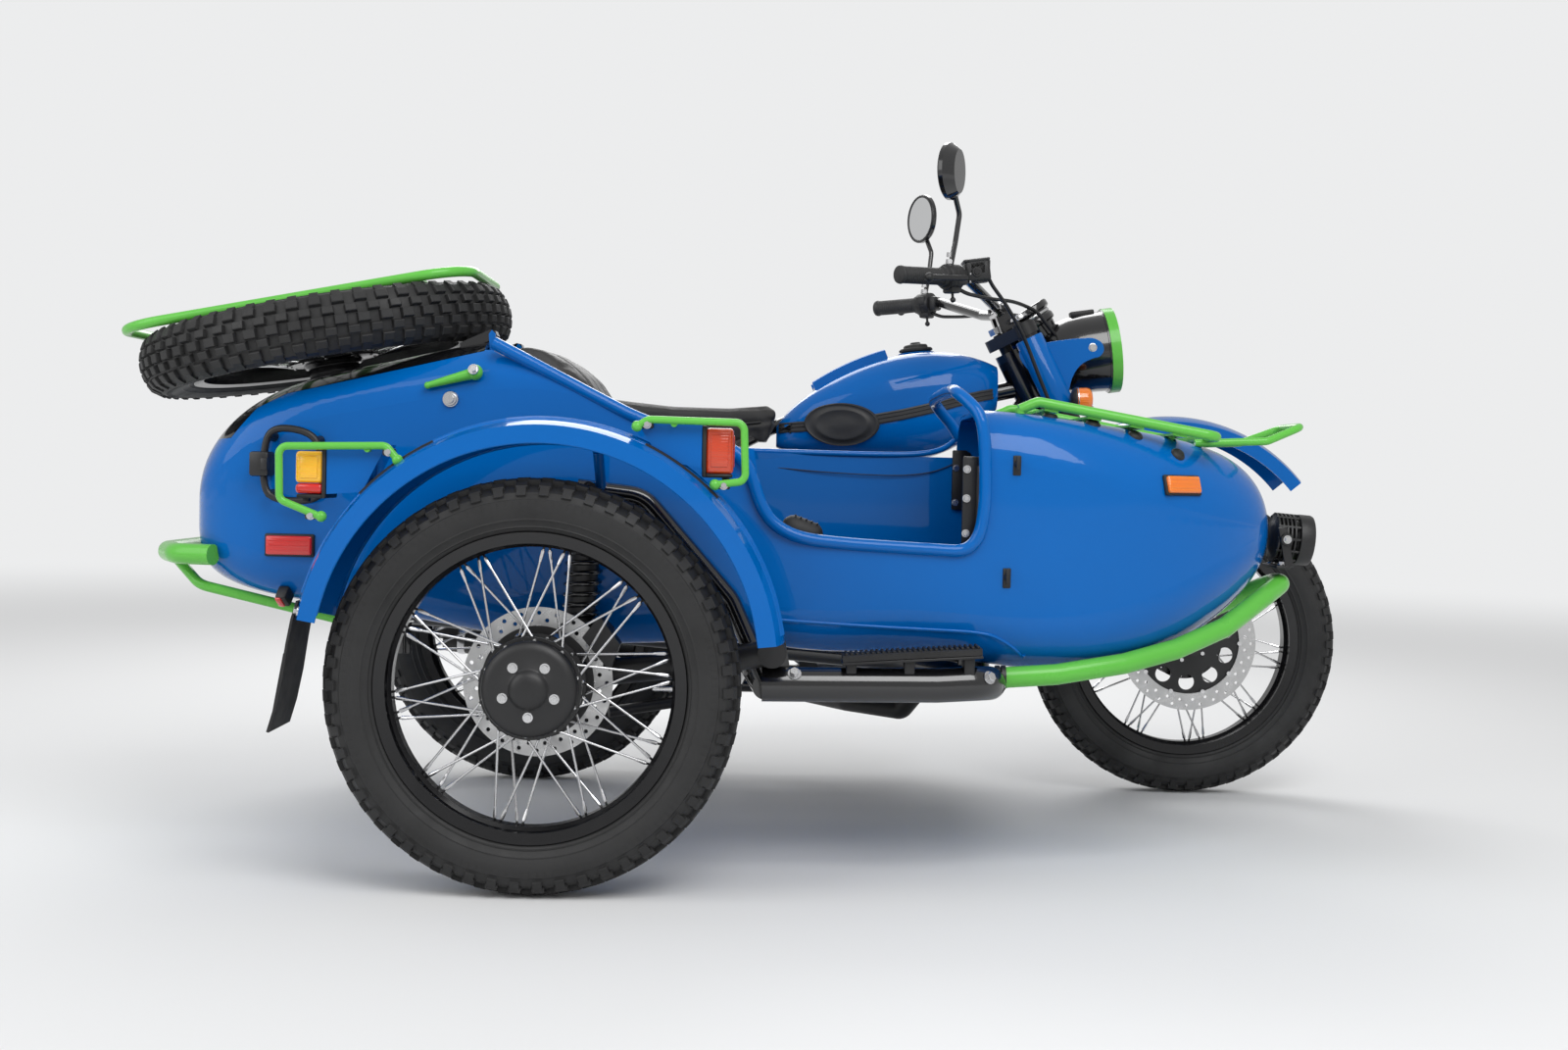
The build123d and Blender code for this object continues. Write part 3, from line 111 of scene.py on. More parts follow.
fade.inputs["From Max"].default_value = FADE_FAR
links.new(distance.outputs["Value"], fade.inputs["Value"])
glow = nodes.new("ShaderNodeEmission")
glow.inputs["Color"].default_value = BACKGROUND
mix = nodes.new("ShaderNodeMixShader")
links.new(fade.outputs["Result"], mix.inputs["Fac"])
links.new(shader.outputs["BSDF"], mix.inputs[1])
links.new(glow.outputs["Emission"], mix.inputs[2])
links.new(mix.outputs["Shader"], nodes["Material Output"].inputs["Surface"])
floor_mesh.materials.append(floor_paint)

SKY_LEVEL = 0.55
world = bpy.data.worlds.new("studio")
bpy.context.scene.world = world
world.use_nodes = True
nodes, links = world.node_tree.nodes, world.node_tree.links
sky = nodes["Background"]
sky.inputs["Color"].default_value = (1.0, 1.0, 1.0, 1.0)
sky.inputs["Strength"].default_value = SKY_LEVEL
seen = nodes.new("ShaderNodeBackground")
seen.inputs["Color"].default_value = BACKGROUND
path = nodes.new("ShaderNodeLightPath")
either = nodes.new("ShaderNodeMath")
either.operation = "MAXIMUM"
links.new(path.outputs["Is Camera Ray"], either.inputs[0])
links.new(path.outputs["Is Transmission Ray"], either.inputs[1])
mix = nodes.new("ShaderNodeMixShader")
links.new(either.outputs["Value"], mix.inputs["Fac"])
links.new(sky.outputs["Background"], mix.inputs[1])
links.new(seen.outputs["Background"], mix.inputs[2])
links.new(mix.outputs["Shader"], nodes["World Output"].inputs["Surface"])

# lamp name, place in mm, aimed at in mm, size in m, power in W
LAMPS = (("key", (1600, -3600, 3600), (600, -500, 500), 2.6, 110.0),
         ("fill", (-2600, -2600, 2400), (400, -500, 500), 3.0, 48.0),
         ("rim", (300, 3000, 3000), (500, -300, 500), 2.6, 80.0))
for name, spot, target, size, power in LAMPS:
    light = bpy.data.lights.new(name, "AREA")
    light.size = size
    light.energy = power
    lamp = placed(name, light)
    lamp.location = at(*spot)
    lamp.rotation_euler = (at(*target) - at(*spot)).to_track_quat("-Z", "Y").to_euler()

CAMERA_PLACE = (512.8, -4136.2, 685.4)
CAMERA_YAW = math.radians(0.45)
CAMERA_DOWN = math.radians(1.6)
CAMERA_ROLL = math.radians(1.25)
LENS_MM = 43.04
ahead = Vector((math.sin(CAMERA_YAW) * math.cos(CAMERA_DOWN), math.cos(CAMERA_YAW) * math.cos(CAMERA_DOWN),
                -math.sin(CAMERA_DOWN)))
level = Vector((math.cos(CAMERA_YAW), -math.sin(CAMERA_YAW), 0))
upright = level.cross(ahead)
right = level * math.cos(CAMERA_ROLL) + upright * math.sin(CAMERA_ROLL)
above = upright * math.cos(CAMERA_ROLL) - level * math.sin(CAMERA_ROLL)
view = bpy.data.cameras.new("camera")
view.lens = LENS_MM
view.sensor_width = 36.0
view.clip_end = 200.0
camera = placed("camera", view)
camera_axes = Matrix((right, above, -ahead)).transposed().to_4x4()
camera.matrix_world = Matrix.Translation(at(*CAMERA_PLACE)) @ camera_axes
bpy.context.scene.camera = camera
bpy.context.scene.view_settings.view_transform = "Standard"

# ---------------------------------------------------------------------------------------------
# Painted bodywork: sidecar body, fenders, tank, fork covers and lamp housings in gloss blue, racks and
# bumpers in green, lid, frames and headlamp in black. Baked enamel under a clear coat, with faint orange peel
# and polish marks.


def new_group(name, inputs, outputs):
    """Empty shader node group with (name, default) inputs and (name, type) outputs."""
    group = bpy.data.node_groups.new(name, "ShaderNodeTree")
    for label, value in inputs:
        kind = "NodeSocketColor" if isinstance(value, tuple) else "NodeSocketFloat"
        socket = group.interface.new_socket(name=label, in_out="INPUT", socket_type=kind)
        socket.default_value = value
    for label, kind in outputs:
        group.interface.new_socket(name=label, in_out="OUTPUT", socket_type=kind)
    return group, group.nodes.new("NodeGroupInput"), group.nodes.new("NodeGroupOutput")


def use_group(nodes, group, **values):
    """Places a node group in a material, with its named inputs set."""
    node = nodes.new("ShaderNodeGroup")
    node.node_tree = group
    for label, value in values.items():
        node.inputs[label].default_value = value
    return node


# cloudy tone and roughness over a surface, as polishing, handling and fine dust leave it
handled, group_in, group_out = new_group("handled", (("Scale", 6.0), ("Tone", (0.5, 0.5, 0.5, 1.0)),
                                                     ("Shade", 0.12), ("Smooth", 0.1), ("Dull", 0.2)),
                                         (("Color", "NodeSocketColor"), ("Roughness", "NodeSocketFloat")))
nodes, links = handled.nodes, handled.links
place = nodes.new("ShaderNodeTexCoord")
clouds = nodes.new("ShaderNodeTexNoise")
clouds.inputs["Detail"].default_value = 6.0
clouds.inputs["Roughness"].default_value = 0.62
links.new(place.outputs["Object"], clouds.inputs["Vector"])
links.new(group_in.outputs["Scale"], clouds.inputs["Scale"])
spread = nodes.new("ShaderNodeMapRange")
spread.inputs["From Min"].default_value = 0.35
spread.inputs["From Max"].default_value = 0.65
links.new(clouds.outputs["Fac"], spread.inputs["Value"])
links.new(group_in.outputs["Smooth"], spread.inputs["To Min"])
links.new(group_in.outputs["Dull"], spread.inputs["To Max"])
links.new(spread.outputs["Result"], group_out.inputs["Roughness"])
darker = nodes.new("ShaderNodeMixRGB")
darker.blend_type = "MULTIPLY"
amount = nodes.new("ShaderNodeMath")
amount.operation = "MULTIPLY"
links.new(clouds.outputs["Fac"], amount.inputs[0])
links.new(group_in.outputs["Shade"], amount.inputs[1])
links.new(amount.outputs["Value"], darker.inputs["Fac"])
links.new(group_in.outputs["Tone"], darker.inputs["Color1"])
darker.inputs["Color2"].default_value = (0.0, 0.0, 0.0, 1.0)
links.new(darker.outputs["Color"], group_out.inputs["Color"])

# fine pitted or pebbled relief: noise for paint and castings, cells for leather and rubber
relief, group_in, group_out = new_group("relief", (("Scale", 300.0), ("Cells", 0.0)),
                                        (("Height", "NodeSocketFloat"),))
nodes, links = relief.nodes, relief.links
place = nodes.new("ShaderNodeTexCoord")
pits = nodes.new("ShaderNodeTexNoise")
pits.inputs["Detail"].default_value = 3.0
cells = nodes.new("ShaderNodeTexVoronoi")
cells.feature = "DISTANCE_TO_EDGE"
for texture in (pits, cells):
    links.new(place.outputs["Object"], texture.inputs["Vector"])
    links.new(group_in.outputs["Scale"], texture.inputs["Scale"])
groove = nodes.new("ShaderNodeMapRange")
groove.inputs["From Max"].default_value = 0.12
links.new(cells.outputs["Distance"], groove.inputs["Value"])
blend = nodes.new("ShaderNodeMix")
links.new(group_in.outputs["Cells"], blend.inputs["Factor"])
links.new(pits.outputs["Fac"], blend.inputs["A"])
links.new(groove.outputs["Result"], blend.inputs["B"])
links.new(blend.outputs["Result"], group_out.inputs["Height"])


def surface(name, tone, smooth, dull, cloud=6.0, shade=0.12, pit=300.0, cells=0.0, depth=0.05, **sockets):
    """Finish with cloudy roughness from smooth to dull and a fine relief; depth is the relief's strength."""
    material, nodes, links, shader = new_material(name, **sockets)
    use = use_group(nodes, handled, Scale=cloud, Tone=(*tone, 1.0), Shade=shade, Smooth=smooth, Dull=dull)
    links.new(use.outputs["Color"], shader.inputs["Base Color"])
    links.new(use.outputs["Roughness"], shader.inputs["Roughness"])
    fine = use_group(nodes, relief, Scale=pit, Cells=cells)
    emboss(nodes, links, fine.outputs["Height"], shader, depth, 0.001)
    return material


BLUE = (0.0, 0.124, 0.455)
GREEN = (0.125, 0.52, 0.065)
blue_paint = surface("blue_enamel", BLUE, 0.16, 0.26, shade=0.10, pit=220.0, depth=0.06, Coat_Weight=0.7,
                     Coat_Roughness=0.03, Coat_IOR=1.38, Specular_IOR_Level=0.05)
green_paint = surface("green_enamel", GREEN, 0.24, 0.36, shade=0.12, pit=260.0, depth=0.08, Coat_Weight=0.4,
                      Coat_Roughness=0.08, Coat_IOR=1.4, Specular_IOR_Level=0.25)
black_paint = surface("black_enamel", (0.006, 0.006, 0.007), 0.12, 0.24, pit=220.0, depth=0.05,
                      Coat_Weight=0.8, Coat_Roughness=0.05)
satin_black = surface("black_powder_coat", (0.012, 0.012, 0.013), 0.34, 0.48, pit=900.0, depth=0.16)


def dress(material, *names):
    """Gives CAD nodes a finish in place of their own."""
    for name in names:
        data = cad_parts[name].data
        data.materials.clear()
        data.materials.append(material)


dress(blue_paint, "tub", "side_fender", "front_fender", "rear_fender", "fuel_tank", "fork_covers",
      "lamp_housings", "cockpit_rail")
dress(green_paint, "luggage_rack", "nose_rack", "bumpers", "lamp_guards", "headlamp_rim")
dress(black_paint, "trunk_lid", "headlamp", "frame_tubes", "sidecar_frame")
dress(satin_black, "fork", "fork_links", "controls", "side_swingarm", "side_shaft", "nose_lamp", "hub_cap",
      "centre_stand", "rear_shocks")

# ---------------------------------------------------------------------------------------------
# Tyres. Four block-tread tyres for mixed ground: black rubber, moulded with staggered knobs, rim bands and
# fine radial ribs on the sidewall. Each carcass is turned from its section, and the knobs follow its crown.
TYRE_RADIUS = 0.335
CROWN_ARC = 0.077
TREAD_DEPTH = 0.0095
PITCHES = 54
KNOB_BEVEL = 0.0011
TURN = 2 * math.pi
SPARE_TILT = math.radians(11.0)


def shift(x, y, z):
    return Matrix.Translation((x, y, z))


def cone(part, segments, foot, top, depth, matrix):
    """Capped cone or cylinder, from its radii at foot and top; gives what the operator made."""
    return bmesh.ops.create_cone(part, cap_ends=True, segments=segments, radius1=foot, radius2=top,
                                 depth=depth, matrix=matrix)


def ball(part, around, upward, radius, spot):
    bmesh.ops.create_uvsphere(part, u_segments=around, v_segments=upward, radius=radius,
                              matrix=Matrix.Translation(spot))


def put(part, matrix):
    bmesh.ops.transform(part, matrix=matrix, verts=part.verts)


def stood(x, y, z):
    """Upright placement at a point given in millimetres, as at() takes it."""
    return Matrix.Translation(at(x, y, z))


def pitched(angle):
    return Matrix.Rotation(angle, 4, "Y")


def turned(angle):
    return Matrix.Rotation(angle, 4, "Z")


def brick(part, stand, size):
    """Sharp box centred on a placement."""
    return bmesh.ops.create_cube(part, size=1.0, matrix=stand @ Matrix.Diagonal((*size, 1)))


def pull(part, faces, vec):
    """Gives a face depth: extrudes it and moves the new side by vec."""
    grown = bmesh.ops.extrude_face_region(part, geom=faces)
    moved = [v for v in grown["geom"] if isinstance(v, bmesh.types.BMVert)]
    bmesh.ops.translate(part, vec=vec, verts=moved)
    bmesh.ops.recalc_face_normals(part, faces=part.faces)


def repeat(part, count):
    """Copies what a bmesh holds evenly round the Z axis, to count in all."""
    bmesh.ops.spin(part, geom=part.verts[:] + part.edges[:] + part.faces[:], cent=(0, 0, 0), axis=(0, 0, 1),
                   angle=TURN * (count - 1) / count, steps=count - 1, use_duplicate=True)


def join(target, part):
    """Adds a finished bmesh to another and frees it."""
    carrier = bpy.data.meshes.new("carrier")
    part.to_mesh(carrier)
    part.free()
    target.from_mesh(carrier)
    bpy.data.meshes.remove(carrier)


def lathed(profile, steps, place=None):
    """bmesh turned from (radius, height) points round the Z axis, then put in place."""
    part = bmesh.new()
    points = [part.verts.new((radius, 0, height)) for radius, height in profile]
    lines = [part.edges.new(pair) for pair in zip(points, points[1:])]
    bmesh.ops.spin(part, geom=points + lines, cent=(0, 0, 0), axis=(0, 0, 1), angle=TURN, steps=steps,
                   use_merge=True)
    bmesh.ops.remove_doubles(part, verts=part.verts, dist=1e-6)
    bmesh.ops.recalc_face_normals(part, faces=part.faces)
    if place is not None:
        put(part, place)
    return part


def turn_on(part, profile, steps, place=None):
    """Adds a turned shape to a bmesh."""
    join(part, lathed(profile, steps, place))


def piece(name, part, body, finish, crease=35.0):
    """Makes a bmesh a piece of the object that rides on a body."""
    data = bpy.data.meshes.new(name)
    part.to_mesh(data)
    part.free()
    data.materials.append(finish)
    data.shade_smooth()
    data.set_sharp_from_angle(angle=math.radians(crease))
    made = placed(name, data)
    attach(made, body)
    return made


def facing(spot, direction):
    """Placement whose Z axis points along direction."""
    return Matrix.Translation(spot) @ Vector(direction).to_track_quat("Z", "Y").to_matrix().to_4x4()


def middle(node):
    low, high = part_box(node)
    return (low + high) / 2


# wheel name, body, placement of its axis (local Z, pointing to the disc side for the road wheels)
AXLE_LEFT = Matrix.Rotation(-math.pi / 2, 4, "X")
AXLE_RIGHT = turned(math.pi) @ AXLE_LEFT
spare_turn = pitched(-SPARE_TILT)
WHEELS = (("front", "front_wheel", Matrix.Translation(middle("front_rim")) @ AXLE_RIGHT),
          ("rear", "rear_wheel", Matrix.Translation(middle("rear_rim")) @ AXLE_LEFT),
          ("side", "sidecar_wheel", Matrix.Translation(middle("side_rim")) @ AXLE_LEFT),
          ("spare", "lid", Matrix.Translation(middle("spare_tyre")) @ spare_turn))
# tyre section above the bead: radius, distance from the wheel plane
SIDEWALL = ((0.2365, 0.0330), (0.2480, 0.0350), (0.2500, 0.0380), (0.2545, 0.0405), (0.2560, 0.0425),
            (0.2580, 0.0420), (0.2660, 0.0455), (0.2675, 0.0470), (0.2700, 0.0468), (0.2800, 0.0505),
            (0.2900, 0.0518), (0.2990, 0.0515), (0.3005, 0.0500), (0.3060, 0.0488), (0.3110, 0.0465),
            (0.3170, 0.0380), (0.3225, 0.0250), (0.3250, 0.0120))
# row of knobs: distance from the wheel plane, width, length, phase in pitches
KNOB_ROWS = ((0.0, 0.0170, 0.0235, 0.0), (0.0190, 0.0150, 0.0215, 0.5), (-0.0190, 0.0150, 0.0215, 0.5),
             (0.0375, 0.0165, 0.0225, 0.0), (-0.0375, 0.0165, 0.0225, 0.0))
RIBS = 150
RIB_SIZE = (0.0085, 0.0014, 0.0006)
RIB_RADIUS = 0.3035

carcass = lathed(SIDEWALL + ((0.3255, 0.0),) + tuple((r, -y) for r, y in reversed(SIDEWALL)), 108)
knobs = bmesh.new()
for offset, width, length, phase in KNOB_ROWS:
    lean = math.asin(offset / CROWN_ARC)
    crown = TYRE_RADIUS - CROWN_ARC + math.sqrt(CROWN_ARC ** 2 - offset ** 2)
    sit = (turned(TURN * phase / PITCHES) @ shift(crown - 0.0006, 0, offset)
           @ pitched(-lean) @ shift(-TREAD_DEPTH / 2 - 0.001, 0, 0))
    knob = bmesh.new()
    brick(knob, sit, (TREAD_DEPTH + 0.002, length, width))
    outward = [v for v in knob.verts if v.co.xy.length > crown - TREAD_DEPTH / 2]
    heart = sum((v.co for v in outward), Vector()) / len(outward)
    bmesh.ops.scale(knob, vec=(0.86, 0.86, 0.86), space=Matrix.Translation(-heart), verts=outward)
    top = [e for e in knob.edges if all(v in outward for v in e.verts)]
    bmesh.ops.bevel(knob, geom=top, offset=KNOB_BEVEL, segments=1, affect="EDGES", profile=0.5, material=-1)
    join(knobs, knob)
# a bar joins the shoulder to the sidewall at every pitch
for side in (-1, 1):
    brick(knobs, shift(0.3125, 0, side * 0.0462) @ pitched(side * 0.62), (0.017, 0.015, 0.0045))
repeat(knobs, PITCHES)
ribs = bmesh.new()
for side in (-1, 1):
    brick(ribs, shift(RIB_RADIUS - 0.011, 0, side * 0.0518), RIB_SIZE)
repeat(ribs, RIBS)
join(carcass, knobs)
join(carcass, ribs)

tyre_rubber = surface("tyre_rubber", (0.016, 0.016, 0.0165), 0.52, 0.74, cloud=9.0, shade=0.35, pit=700.0,
                      depth=0.22)
for name, body, stand in WHEELS:
    tyre = carcass.copy()
    put(tyre, stand)
    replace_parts(piece(name + "_block_tyre", tyre, body, tyre_rubber, crease=24.0), name + "_tyre")
carcass.free()

# ---------------------------------------------------------------------------------------------
# Rims, spokes and nipples. Gloss black steel rims and hubs laced together with bright stainless
# spokes, forty to a wheel, each tightened by a plated nipple. The finish changes with distance from the axle.
HUB_REACH = 0.0835
RIM_REACH = 0.2195
SPOKES_PER_SIDE = 20
SPOKE_LEAN = math.radians(26.0)


def wheel_finish(name, stand):
    """Black rim and hub with bright spokes between them, told apart by distance from the axle."""
    material, nodes, links, shader = new_material(name, Coat_Roughness=0.05)
    spot = nodes.new("ShaderNodeTexCoord")
    turn = nodes.new("ShaderNodeMapping")
    turn.vector_type = "POINT"
    back = stand.inverted()
    turn.inputs["Location"].default_value = back.to_translation()
    turn.inputs["Rotation"].default_value = back.to_euler()
    links.new(spot.outputs["Object"], turn.inputs["Vector"])
    flat = nodes.new("ShaderNodeVectorMath")
    flat.operation = "MULTIPLY"
    flat.inputs[1].default_value = (1.0, 1.0, 0.0)
    links.new(turn.outputs["Vector"], flat.inputs[0])
    reach = nodes.new("ShaderNodeVectorMath")
    reach.operation = "LENGTH"
    links.new(flat.outputs["Vector"], reach.inputs[0])
    inner = nodes.new("ShaderNodeMath")
    inner.operation = "GREATER_THAN"
    inner.inputs[1].default_value = HUB_REACH
    outer = nodes.new("ShaderNodeMath")
    outer.operation = "LESS_THAN"
    outer.inputs[1].default_value = RIM_REACH
    bright = nodes.new("ShaderNodeMath")
    bright.operation = "MULTIPLY"
    for test, slot_index in ((inner, 0), (outer, 1)):
        links.new(reach.outputs["Value"], test.inputs[0])
        links.new(test.outputs["Value"], bright.inputs[slot_index])
    gloss = use_group(nodes, handled, Scale=7.0, Tone=(0.006, 0.006, 0.007, 1.0), Shade=0.2, Smooth=0.14,
                      Dull=0.28)
    steel = use_group(nodes, handled, Scale=25.0, Tone=(0.72, 0.72, 0.73, 1.0), Shade=0.25, Smooth=0.16,
                      Dull=0.3)
    tone = nodes.new("ShaderNodeMixRGB")
    rough = nodes.new("ShaderNodeMix")
    links.new(bright.outputs["Value"], tone.inputs["Fac"])
    links.new(bright.outputs["Value"], rough.inputs["Factor"])
    links.new(gloss.outputs["Color"], tone.inputs["Color1"])
    links.new(steel.outputs["Color"], tone.inputs["Color2"])
    links.new(gloss.outputs["Roughness"], rough.inputs["A"])
    links.new(steel.outputs["Roughness"], rough.inputs["B"])
    links.new(tone.outputs["Color"], shader.inputs["Base Color"])
    links.new(rough.outputs["Result"], shader.inputs["Roughness"])
    links.new(bright.outputs["Value"], shader.inputs["Metallic"])
    return material


plated = surface("plated_steel", (0.70, 0.70, 0.71), 0.16, 0.30, cloud=30.0, shade=0.2, depth=0.02,
                 Metallic=1.0)
lacing = bmesh.new()
for side in (-1, 1):
    for index in range(SPOKES_PER_SIDE):
        lean = SPOKE_LEAN if index % 2 else -SPOKE_LEAN
        at_hub = TURN * (index + side / 4) / SPOKES_PER_SIDE
        at_rim = at_hub + lean
        foot = Vector((0.076 * math.cos(at_hub), -0.076 * math.sin(at_hub),
                       side * (0.0315 + (index % 2) * 0.003)))
        head = Vector((0.226 * math.cos(at_rim), -0.226 * math.sin(at_rim), side * 0.005))
        along = (head - foot).normalized()
        for reach, radius, length in ((0.0155, 0.0034, 0.014), (0.0245, 0.0027, 0.006)):
            cone(lacing, 8, radius, radius * 0.86, length, facing(head - along * reach, -along))
        ball(lacing, 8, 5, 0.0042, foot + along * 0.0005)
cone(lacing, 12, 0.0045, 0.0036, 0.034, facing((0.2085, 0, 0), (-1, 0, 0)))
for name, body, stand in WHEELS:
    dress(wheel_finish(name + "_rim_and_spokes", stand), name + "_rim")
    nipples = lacing.copy()
    put(nipples, stand)
    piece(name + "_nipples", nipples, body, plated)
lacing.free()

# ---------------------------------------------------------------------------------------------
# Brake discs. Stainless rings drilled in two staggered rows, riveted by bobbins to black carriers
# that bolt to the hub. The ring is filled between its circles, then given its thickness.
DISC_THICK = 0.005
DISC_PLANE = 0.066
HOLE_RADIUS = 0.0036
# wheel, outer radius, ring width, holes round the ring, bobbins
DISCS = (("front", 0.1475, 0.036, 28, 10), ("rear", 0.1280, 0.034, 24, 8), ("side", 0.1225, 0.034, 24, 8))


def cut_plate(circles, thick):
    """Flat plate between circles (x, y, radius, segments): the first is its edge, the others are holes."""
    part = bmesh.new()
    for x, y, radius, segments in circles:
        bmesh.ops.create_circle(part, segments=segments, radius=radius, matrix=shift(x, y, 0))
    bmesh.ops.triangle_fill(part, use_beauty=True, use_dissolve=False, edges=part.edges[:], normal=(0, 0, 1))
    pull(part, part.faces[:], (0, 0, thick))
    return part


def ring_of(count, radius, size, segments, phase=0.0):
    """Circles evenly round a pitch circle."""
    spots = [TURN * (index + phase) / count for index in range(count)]
    return [(radius * math.cos(a), radius * math.sin(a), size, segments) for a in spots]


disc_steel = surface("disc_stainless", (0.60, 0.60, 0.60), 0.24, 0.38, cloud=40.0, shade=0.2, pit=500.0,
                     depth=0.05, Metallic=1.0)
for name, outer, width, holes, bobbins in DISCS:
    body, stand = {wheel: (body, place) for wheel, body, place in WHEELS}[name]
    inner = outer - width
    circles = [(0, 0, outer, 128), (0, 0, inner, 96)]
    circles += ring_of(holes, outer - width * 0.28, HOLE_RADIUS, 10)
    circles += ring_of(holes, outer - width * 0.62, HOLE_RADIUS, 10, phase=0.5)
    ring = cut_plate(circles, DISC_THICK)
    put(ring, stand @ shift(0, 0, DISC_PLANE - DISC_THICK / 2))
    piece(name + "_drilled_ring", ring, body, disc_steel)
    windows = [(0, 0, inner + 0.0035, 96), (0, 0, 0.0165, 48)]
    windows += ring_of(bobbins, (inner + 0.054) / 2 + 0.004, (inner - 0.054) * 0.30, 20, phase=0.5)
    carrier = cut_plate(windows, 0.0042)
    bmesh.ops.translate(carrier, vec=(0, 0, DISC_PLANE - DISC_THICK / 2 - 0.0045), verts=carrier.verts)
    turn_on(carrier, ((0.0165, 0.0452), (0.050, 0.0452), (0.050, DISC_PLANE - DISC_THICK / 2 - 0.002)), 48)
    put(carrier, stand)
    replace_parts(piece(name + "_disc_carrier", carrier, body, satin_black), name + "_disc")
    fixings = bmesh.new()
    for x, y, size, segments in ring_of(bobbins, inner + 0.0005, 0.0052, 12):
        cone(fixings, 14, size, size * 0.9, 0.0085, shift(x, y, DISC_PLANE - 0.0002))
    for x, y, size, segments in ring_of(5, 0.040, 0.0050, 6):
        cone(fixings, 6, size, size * 0.9, 0.006, shift(x, y, DISC_PLANE + 0.0005))
    put(fixings, stand)
    piece(name + "_disc_bobbins", fixings, body, plated)

# Sidecar hub cap: pressed satin black cover with a raised centre, held by five bright hex screws.
HUB_CAP = ((0.0, 0.0710), (0.012, 0.0708), (0.022, 0.0690), (0.029, 0.0650), (0.0315, 0.0605),
           (0.034, 0.0588), (0.062, 0.0578), (0.067, 0.0568), (0.0735, 0.0530), (0.0765, 0.0485),
           (0.0770, 0.0452))
side_axle = Matrix.Translation(middle("side_rim")) @ AXLE_RIGHT
cap = lathed(HUB_CAP, 72, side_axle)
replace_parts(piece("hub_cover", cap, "sidecar_wheel", satin_black, crease=60.0), "hub_cap")
screws = bmesh.new()
for x, y, size, segments in ring_of(5, 0.043, 0.0062, 6, phase=0.25):
    cone(screws, 20, 0.0085, 0.0082, 0.0016, side_axle @ shift(x, y, 0.0588))
    cone(screws, 6, size, size * 0.93, 0.0052, side_axle @ shift(x, y, 0.0618))
piece("hub_screws", screws, "sidecar_wheel", plated)

# ---------------------------------------------------------------------------------------------
# Sidecar body fittings. The pressed steel body carries a lower crease, edge rails, cover studs, hinges,
# lamps, a black tool loop, and a lid catch with its lever and lock. Most are set on the body's skin.
TUB_MIDDLE = -690.0


def lay(part, rows):
    """Quads between neighbouring rows of vertices."""
    for low, high in zip(rows, rows[1:]):
        for index in range(len(low) - 1):
            part.faces.new((low[index], low[index + 1], high[index + 1], high[index]))


def from_curve(curve):
    """What a curve shows, as a bmesh; the curve is freed."""
    carrier = bpy.data.objects.new(curve.name + "_line", curve)
    data = bpy.data.meshes.new_from_object(carrier)
    bpy.data.objects.remove(carrier)
    bpy.data.curves.remove(curve)
    part = bmesh.new()
    part.from_mesh(data)
    bpy.data.meshes.remove(data)
    return part


def skin_of(shown):
    """Surface of an object, or of a CAD node by its name, for setting fittings on it."""
    data = (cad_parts[shown] if isinstance(shown, str) else shown).data
    return BVHTree.FromPolygons([v.co for v in data.vertices], [p.vertices for p in data.polygons])


def dropped_on(skin, x, y, z):
    """Point and normal met on a skin straight below a point in mm."""
    return skin.ray_cast(at(x, y, z), Vector((0, 0, -1)))[:2]


def set_on(skin, x, z, y=-950.0):
    """Point and outward direction on a skin, on the sight line from the camera through (x, y, z)."""
    start = at(*CAMERA_PLACE)
    line = (at(x, y, z) - start).normalized()
    spot, normal, _, _ = skin.ray_cast(start, line)
    if spot is None:
        spot, normal, _, _ = skin.find_nearest(at(x, y, z))
    if normal.dot(line) > 0:
        normal = -normal
    return spot, normal


def wire(name, points, radius, body, finish, closed=False, round_steps=4):
    """Round bar along a smooth line through control points in the frame's metres, made a mesh."""
    curve = bpy.data.curves.new(name, "CURVE")
    curve.dimensions = "3D"
    curve.bevel_depth = radius
    curve.bevel_resolution = round_steps
    curve.resolution_u = 8
    curve.use_fill_caps = True
    line = curve.splines.new("NURBS")
    line.points.add(len(points) - 1)
    for control, spot in zip(line.points, points):
        control.co = (*spot, 1.0)
    line.use_cyclic_u = closed
    line.order_u = 3
    line.use_endpoint_u = not closed
    return piece(name, from_curve(curve), body, finish, crease=50.0)


def bolt(part, spot, direction, across=0.010, high=0.005, washer=True):
    """Hex head, with a washer under it, standing on spot."""
    stand = facing(spot, direction)
    if washer:
        cone(part, 20, across * 0.78, across * 0.76, 0.0016, stand @ shift(0, 0, 0.0006))
    head = cone(part, 6, across * 0.577, across * 0.577, high, stand @ shift(0, 0, high / 2 + 0.0012))
    tip = [e for e in part.edges if all(v in head["verts"] for v in e.verts)
           and all((stand.inverted() @ v.co).z > high * 0.9 for v in e.verts)]
    bmesh.ops.bevel(part, geom=tip, offset=across * 0.06, segments=1, affect="EDGES", profile=0.5,
                    material=-1)


def block(part, stand, size, round_off=0.002, segments=2):
    """Box with rounded edges, centred on a placement."""
    made = brick(part, stand, size)
    edges = list({e for v in made["verts"] for e in v.link_edges})
    bmesh.ops.bevel(part, geom=edges, offset=round_off, segments=segments, affect="EDGES", profile=0.5,
                    material=-1)


def upright_on(spot, normal):
    """Placement on a skin: Z outward, Y as near to upright as the skin allows."""
    out = Vector(normal).normalized()
    side = Vector((0, 0, 1)).cross(out).normalized()
    rise = out.cross(side)
    return Matrix.Translation(spot) @ Matrix((side, rise, out)).transposed().to_4x4()


